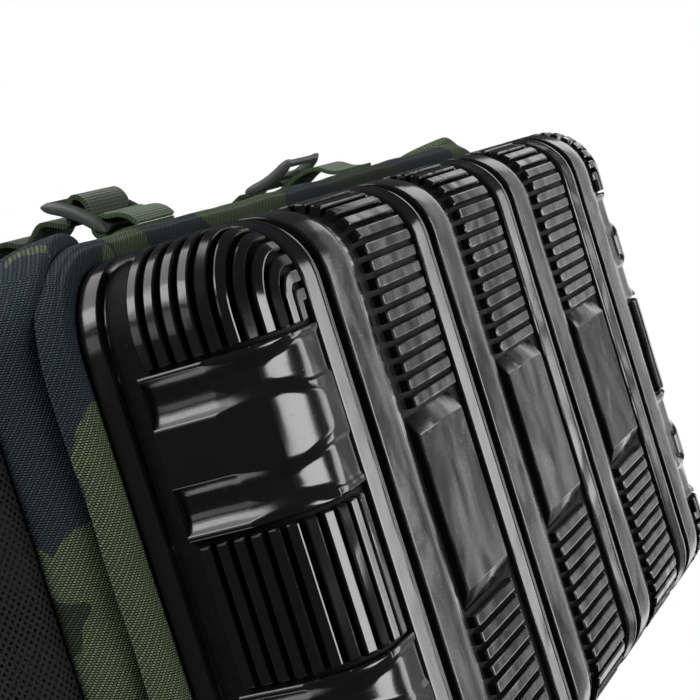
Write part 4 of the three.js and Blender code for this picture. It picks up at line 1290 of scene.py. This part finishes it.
def shoulder_webbing_piece(side, name):
    """The lower webbing, through the buckle at the strap's end and down to the hem, and its free tail."""
    (x, y, z), tilt = SHOULDER_LOCK
    middle = lock_frame((side * x, y, z), tilt)(0, 0, 11)
    line = [middle + (side * 0.6, 6, 9), middle + (side * 0.3, 3.6, 2)]
    line += [middle + (0, 2.6 * cos(t), -2.6 * sin(t)) for t in (0.4, 1.2, 2.1)]
    line += [middle + (side * 0.8, -4.8, -3.5), *mirrored_line(LOWER_PATH, side)]
    tail = [middle + (side * 0.2, 4.4, 3), *mirrored_line(TAIL_PATH, side)]
    return (banded("shoulder_web_" + name, curve_points(line, 7), (1, 0, 0), 25, 1.8, WEBBING_DARK),
            banded("shoulder_tail_" + name, curve_points(tail, 8), (1, 0, 0), 25, 1.6, WEBBING_DARK))


def haul_handle_piece():
    """The haul handle: doubled webbing with a rolled grip, hanging from its two sewn ends."""
    y = PAD_FACE + 3
    half = [(43, y, 430), (43, y, 412), (40.5, y + 0.6, 398), (32, y + 1, 386), (18, y + 1, 380.5)]
    line = curve_points([*mirrored_line(half, -1), (0, y + 1, 379), *half[::-1]], 7)
    band = banded("haul_webbing", line, np.cross(np.gradient(line, axis=0), (0, 1, 0)), 14, 3.2, WEBBING_DARK)
    thread = Shape()
    centre = line[np.abs(line[:, 0]) < 27]
    across = np.cross(unit(np.gradient(centre, axis=0)), (0, 1, 0))
    rings = []
    for i, (point, wide) in enumerate(zip(centre, across)):
        size = 0.8 + 0.2 * min(min(i, len(centre) - 1 - i) / 2, 1)
        rings.append([point + wide * 8.2 * size * c + np.array((0, 3.4 * size * s, 0)) for c, s in circle(18)])
    grip = lofted("haul_grip", rings, BINDING, levels=1)
    for edge in (5.6, -5.6):
        stitches(thread, centre + across * edge + (0, 2.7, 0), (0, 1, 0), 3.2, 2.3, 0.3)
    return band, grip, thread.made("haul_stitches", THREAD)


def handle_roots():
    """The two sewn tabs that hold the haul handle's ends."""
    shape = Shape()
    for x in (-43, 43):
        shape.tube([upright(PAD_FACE + out, x - 9 + cut, x + 9 - cut, 414 + cut, 434 - cut, 2, 3)
                    for out, cut in ((0, 0), (0.5, 0), (0.7, 0.8))])
    return shape.made("handle_patches", BINDING, sharp=50)


def ring_centre(side):
    """The D-ring's hinge, on the strap's outer face."""
    low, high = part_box("d_ring_" + ("left" if side < 0 else "right"))
    return np.array(((low.x + high.x) / 2, (low.y + high.y) / 2, high.z)) / MM - np.array((0, 0, 1.6))


def d_ring_piece(side, name):
    """A D-shaped ring of round wire."""
    cx, cy, cz = ring_centre(side)
    line = [(cx + x, cy, cz) for x in np.linspace(-10.4, 10.4, 12)]
    line += [(cx + 10.4 * cos(t), cy, cz - 1.6 - 10.4 * sin(t)) for t in np.linspace(0.05, pi - 0.05, 22)]
    shape = Shape()
    round_tube(shape, line, 1.55, 12, loop=True)
    return shape.made("ring_wire_" + name, METAL)


def ring_tab(side, name):
    """The folded webbing tab that holds a D-ring to its strap."""
    cx, cy, cz = ring_centre(side)
    line = [(cx, cy - 4.2, cz + 17), (cx, cy - 2.6, cz + 9), (cx, cy - 0.6, cz + 4.4)]
    line += [(cx, cy - 0.2 + 2.7 * sin(t), cz + 2.7 * cos(t)) for t in np.linspace(0.3, 2.6, 6)]
    line += [(cx, cy - 1.9, cz - 2.0), (cx, cy - 3.0, cz + 3.2)]
    return banded("ring_tab_" + name, curve_points(line, 5), (1, 0, 0), 17, 1.2, WEBBING_DARK)

# ---- Back pads -----------------------------------------------------------


def pad_form(x0, x1, z0, z1, radius, depth):
    """The rings of a pillow lying on the back panel, with a flat back and a crowned face."""
    rows = [(1.2, 0.05, radius - 0.6)]
    for turn in np.linspace(0, pi / 2, 7):
        inset = 4.2 * (1 - cos(turn))
        rows.append((inset, 0.2 + depth * 0.62 * sin(turn), radius - inset * 0.5))
    rows += [(cut, 0.2 + depth * (0.62 + 0.2 * smoothstep(0, 26, cut)), max(radius - cut * 0.4, 4))
             for cut in (8, 16, 28)]
    return [upright(PAD_FACE + out, x0 + cut, x1 - cut, z0 + cut, z1 - cut, corner, 8) for cut, out, corner in rows]


def swell(piece, cap):
    """Remeshes a pad, inflates it as cloth with its back pinned, and caps how far it moved, in mm."""
    def evaluated():
        return piece.evaluated_get(bpy.context.evaluated_depsgraph_get())

    remesh = piece.modifiers.new("remesh", "REMESH")
    remesh.mode, remesh.voxel_size = "VOXEL", 0.005
    bpy.context.view_layer.update()
    mesh = bpy.data.meshes.new_from_object(evaluated())
    piece.modifiers.clear()
    mesh.materials.clear()
    mesh.materials.append(piece.data.materials[0])
    piece.data = mesh
    rest = np.array([v.co for v in mesh.vertices], float)
    held = [i for i, p in enumerate(rest) if p[1] < (PAD_FACE + 2.0) * MM]
    piece.vertex_groups.new(name="back").add(held, 1.0, "REPLACE")
    cloth = piece.modifiers.new("cloth", "CLOTH")
    cloth.settings.vertex_group_mass = "back"
    cloth.settings.use_pressure = True
    cloth.settings.uniform_pressure_force = 4
    cloth.settings.effector_weights.gravity = 0
    cloth.settings.quality = 4
    cloth.point_cache.frame_start, cloth.point_cache.frame_end = 1, 20
    scene = bpy.context.scene
    for frame_number in range(1, 21):
        scene.frame_set(frame_number)
    shift = np.array([v.co for v in evaluated().data.vertices], float) - rest
    piece.modifiers.clear()
    scene.frame_set(1)
    size = np.linalg.norm(shift, axis=1)
    rest += shift * np.minimum(1, cap * MM / np.maximum(size, 1e-9))[:, None]
    rest[:, 1] = np.maximum(rest[:, 1], (PAD_FACE + 0.02) * MM)
    return rest


def pad_piece(name, x0, x1, z0, z1, radius, channels, upright_channels=False):
    """One air-mesh back pad with its sewn channels and bound edge."""
    piece = lofted(name, pad_form(x0, x1, z0, z1, radius, 12), AIR_MESH, sharp=180)
    points = swell(piece, 3.4)
    across, along = (0, 2) if upright_channels else (2, 0)
    start, end = (z0, z1) if upright_channels else (x0, x1)
    for spot in channels:
        away, place = points[:, across] / MM - spot, points[:, along] / MM
        inside = smoothstep(start + 6, start + 14, place) * (1 - smoothstep(end - 14, end - 6, place))
        points[:, 1] -= 4.2 * MM * np.exp(-(away / 3.4) ** 2) * inside * (points[:, 1] / MM > PAD_FACE + 5)
    piece.data.vertices.foreach_set("co", points.astype(np.float32).ravel())
    piece.data.update()
    for face in piece.data.polygons:
        face.use_smooth = True
    subdivided(piece)
    rim = Shape()
    edge = upright(PAD_FACE + 1.7, x0 + 0.4, x1 - 0.4, z0 + 0.4, z1 - 0.4, radius, 9)
    round_tube(rim, edge, 1.7, loop=True)
    return piece, rim.made(name + "_piping", BINDING)

# ---- Pieces --------------------------------------------------------------

for node in ("floor_board", "divider_shelf"):
    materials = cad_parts[node].data.materials
    materials.clear()
    materials.append(BOARD)

settled(moulded_tray(), "pack", "moulded_base", "base_tray")
settled(tray_pads(), "pack", "moulded_base")
settled(hem_roll_piece(), "pack", "camouflage_fabric", "hem_roll")
settled(body_piece(), "pack", "camouflage_fabric", "back_panel", "front_panel", "side_panel_left",
        "side_panel_right")
piping, thread = body_trim()
settled(piping, "pack", "elastic_binding")
settled(thread, "pack", "camouflage_fabric")

settled(lined(door_piece(), 1, 1), "door", "camouflage_fabric", "front_door")
tape, teeth, thread = door_zip()
settled(tape, "door", "zip_tape", "door_zip_tape")
settled(teeth, "door", "zip_tape")
settled(thread, "door", "camouflage_fabric")

lid, trim, thread = lid_piece()
settled(lined(lid, 2, -1), "top_lid", "camouflage_fabric", "lid")
strip = lid_hinge_piece()
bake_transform(strip)
settled(trim, "top_lid", "elastic_binding")
settled(thread, "top_lid", "camouflage_fabric")
tape, teeth = lid_zip()
settled(tape, "pack", "zip_tape", "lid_zip_track")
settled(teeth, "pack", "zip_tape")

ZIPS = (("lid", BODY_FRONT - 2.6, 443), ("door", BODY_FRONT - 2.4, DOOR_TOP - 7))
for name, side in SIDES:
    for kind, front, z in ZIPS:
        settled(slider_pieces(side, front, z, f"{kind}_slider_body_{name}"), f"{kind}_slider_{name}", "zip_metal",
                f"{kind}_zip_slider_{name}")
        settled(pull_piece(side, front, z, f"{kind}_pull_grip_{name}"), f"{kind}_pull_{name}", "hard_plastic",
                f"{kind}_zip_pull_{name}")
    settled(side_band_piece(side), "pack", "camouflage_fabric", f"side_band_{name}")
    pouch, elastic, thread = pocket_pieces(side, name)
    settled(pouch, "pack", "side_mesh", f"mesh_pocket_{name}")
    settled(elastic, "pack", "elastic_binding", f"pocket_binding_{name}")
    settled(thread, "pack", "elastic_binding")
    settled(ladder_lock_piece("lash_buckle_" + name, *LASH_LOCKS[name]), f"lash_lock_{name}", "hard_plastic",
            f"lash_ladder_lock_{name}")
    (x, y, z), tilt = SHOULDER_LOCK
    settled(ladder_lock_piece("shoulder_buckle_" + name, (side * x, y, z), tilt, 0.6), f"shoulder_lock_{name}",
            "hard_plastic", f"shoulder_ladder_lock_{name}")
    strap, bound, run, keeper, thread = shoulder_strap_piece(side, name)
    settled(strap, "pack", "camouflage_fabric", f"shoulder_strap_{name}")
    for piece, slot in ((bound, "elastic_binding"), (run, "webbing"), (keeper, "webbing"),
                        (thread, "camouflage_fabric")):
        settled(piece, "pack", slot)
    for piece in strap_root_piece(side, name):
        settled(piece, "pack", "camouflage_fabric")
    web, tail = shoulder_webbing_piece(side, name)
    settled(web, "pack", "webbing", f"shoulder_webbing_{name}")
    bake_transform(tail)
    settled(d_ring_piece(side, name), f"ring_{name}", "zip_metal", f"d_ring_{name}")
    settled(ring_tab(side, name), "pack", "webbing", f"d_ring_loop_{name}")
    x0, x1 = sorted((side * 18, side * 112))
    pad, rim = pad_piece("back_pad_mesh_" + name, x0, x1, 206, 372, 18, (238, 270, 302, 334))
    settled(pad, "pack", "air_mesh", f"back_pad_{name}")
    settled(rim, "pack", "elastic_binding")

pad, rim = pad_piece("lumbar_pad_mesh", -118, 118, 88, 192, 22, (-60, 0, 60), upright_channels=True)
settled(pad, "pack", "air_mesh", "lumbar_pad")
settled(rim, "pack", "elastic_binding")

loops, straps, thread = lash_pieces()
for (name, _), loop, strap in zip(SIDES, loops, straps):
    settled(loop, "door", "webbing", "lash_anchor_" + name)
    settled(strap, "door", "webbing", "lash_strap_" + name)
settled(thread, "door", "webbing")

band, grip, thread = haul_handle_piece()
settled(band, "haul_handle_loop", "webbing", "haul_handle")
settled(grip, "haul_handle_loop", "webbing")
settled(thread, "haul_handle_loop", "webbing")
settled(handle_roots(), "pack", "webbing")

# ---- Camera, light and floor ---------------------------------------------

CAMERA_AT = (-593.82, -89.79, -200.03)
CAMERA_RIGHT = (0.36183, 0.29833, -0.88322)
CAMERA_DOWN = (-0.18252, 0.95175, 0.24670)
CAMERA_FORWARD = (0.91420, 0.07194, 0.39882)
LENS = 97.57
KEY_AIM = (0, 0, 0.1)

# Lamps as (name, place, aim, width and height, radiance, seen in glossy surfaces), in metres.
SOFTBOXES = (("far_low", (1.6, 0.15, -0.6), (0, 0, -0.6), (1.8, 0.54), 0.17, True),
             ("far_middle", (1.62, 0.15, -0.485), (0, 0, -0.485), (1.8, 0.31), 0.22, True),
             ("far_high", (1.64, 0.1, -0.42), (0, 0, -0.42), (1.2, 0.17), 0.35, True),
             ("horizon", (1.6, 0.3, -0.07), (0, 0.3, -0.07), (2.2, 0.4), 1.4, True),
             ("under_far", (1.35, 0.15, -1.2), (0.05, 0, 0), (1.3, 0.62), 3.8, True),
             ("below", (-0.28, 0.15, -1.5), (-0.15, 0, 0), (1.1, 0.8), 9, True),
             ("front", (-0.42, -1.15, 0.52), (-0.1, -0.05, 0.03), (1.9, 0.75), 2.4, True),
             ("front_core", (-0.9, -1.0, 0.56), (-0.15, -0.08, 0.03), (0.42, 0.6), 4.5, True),
             ("front_wing", (-1.4, -0.4, 0.6), (-0.18, -0.08, 0.03), (0.4, 0.6), 1.3, True),
             ("table_side", (-0.38, 1.25, 0.6), (-0.17, -0.04, 0.03), (0.9, 0.55), 2.2, True),
             ("key", (-1.4, -0.95, 0.45), KEY_AIM, (0.7, 0.7), 11, False),
             ("top", (0.2, 0.1, 2.0), KEY_AIM, (1.6, 1.6), 3.2, False),
             ("back_fill", (0.9, 1.6, 0.9), KEY_AIM, (1.2, 1.0), 3.5, False),
             ("front_fill", (0.9, -1.7, 0.7), KEY_AIM, (1.2, 1.0), 3.5, False))


def placed(name, data):
    thing = bpy.data.objects.new(name, data)
    bpy.context.scene.collection.objects.link(thing)
    return thing


def switched(tree, switch, off, on, output):
    """Mixes two shaders by a switch and sends them out."""
    mixed = tree.nodes.new("ShaderNodeMixShader")
    for socket, target in ((switch, mixed.inputs["Fac"]), (off, mixed.inputs[1]), (on, mixed.inputs[2]),
                           (mixed.outputs[0], output.inputs["Surface"])):
        tree.links.new(socket, target)


def place_camera():
    data = bpy.data.cameras.new("camera")
    data.lens, data.sensor_width = LENS, 36
    data.clip_start, data.clip_end = 0.01, 50
    camera = placed("camera", data)
    right, down, forward = Vector(CAMERA_RIGHT), Vector(CAMERA_DOWN), Vector(CAMERA_FORWARD)
    turn = Matrix((right, -down, -forward)).transposed().to_4x4()
    turn.translation = Vector(CAMERA_AT) * MM
    camera.matrix_world = turn
    bpy.context.scene.camera = camera


def light_studio():
    """Rectangular lamps, and a world that is white to the camera and dim to everything else."""
    world = bpy.data.worlds.new("studio")
    world.use_nodes = True
    bpy.context.scene.world = world
    nodes = world.node_tree.nodes
    nodes.clear()
    seen, around = nodes.new("ShaderNodeBackground"), nodes.new("ShaderNodeBackground")
    seen.inputs["Color"].default_value = (1, 1, 1, 1)
    around.inputs["Color"].default_value = (0.9, 0.95, 1, 1)
    around.inputs["Strength"].default_value = 0.06
    switched(world.node_tree, nodes.new("ShaderNodeLightPath").outputs["Is Camera Ray"], around.outputs[0],
             seen.outputs[0], nodes.new("ShaderNodeOutputWorld"))
    for name, at, aim, (width, height), radiance, mirrored in SOFTBOXES:
        data = bpy.data.lights.new(name, "AREA")
        data.shape, data.size, data.size_y = "RECTANGLE", width, height
        data.energy = radiance * pi * width * height
        light = placed(name, data)
        light.location = at
        light.rotation_euler = (Vector(at) - Vector(aim)).to_track_quat("Z", "Y").to_euler()
        light.visible_camera = False
        light.visible_glossy = mirrored


def lay_floor():
    """A pale floor that shows from above only, because the camera looks at the base from below it."""
    mesh = bpy.data.meshes.new("floor")
    half = 6
    mesh.from_pydata([(-half, -half, 0), (half, -half, 0), (half, half, 0), (-half, half, 0)], [], [(0, 1, 2, 3)])
    floor = placed("floor", mesh)
    g = Graph("floor")
    g.finish(colour=(0.35, 0.35, 0.35), roughness=0.85)
    g.shader.inputs["Emission Color"].default_value = (1, 1, 1, 1)
    g.shader.inputs["Emission Strength"].default_value = 0.82
    switched(g.tree, g.node("NewGeometry").outputs["Backfacing"], g.shader.outputs[0],
             g.node("BsdfTransparent").outputs[0], g.tree.nodes["Material Output"])
    mesh.materials.append(g.material)
    floor.visible_diffuse = floor.visible_glossy = False
    floor.visible_transmission = floor.visible_shadow = False


place_camera()
light_studio()
lay_floor()
bpy.context.scene.view_settings.view_transform = "Standard"
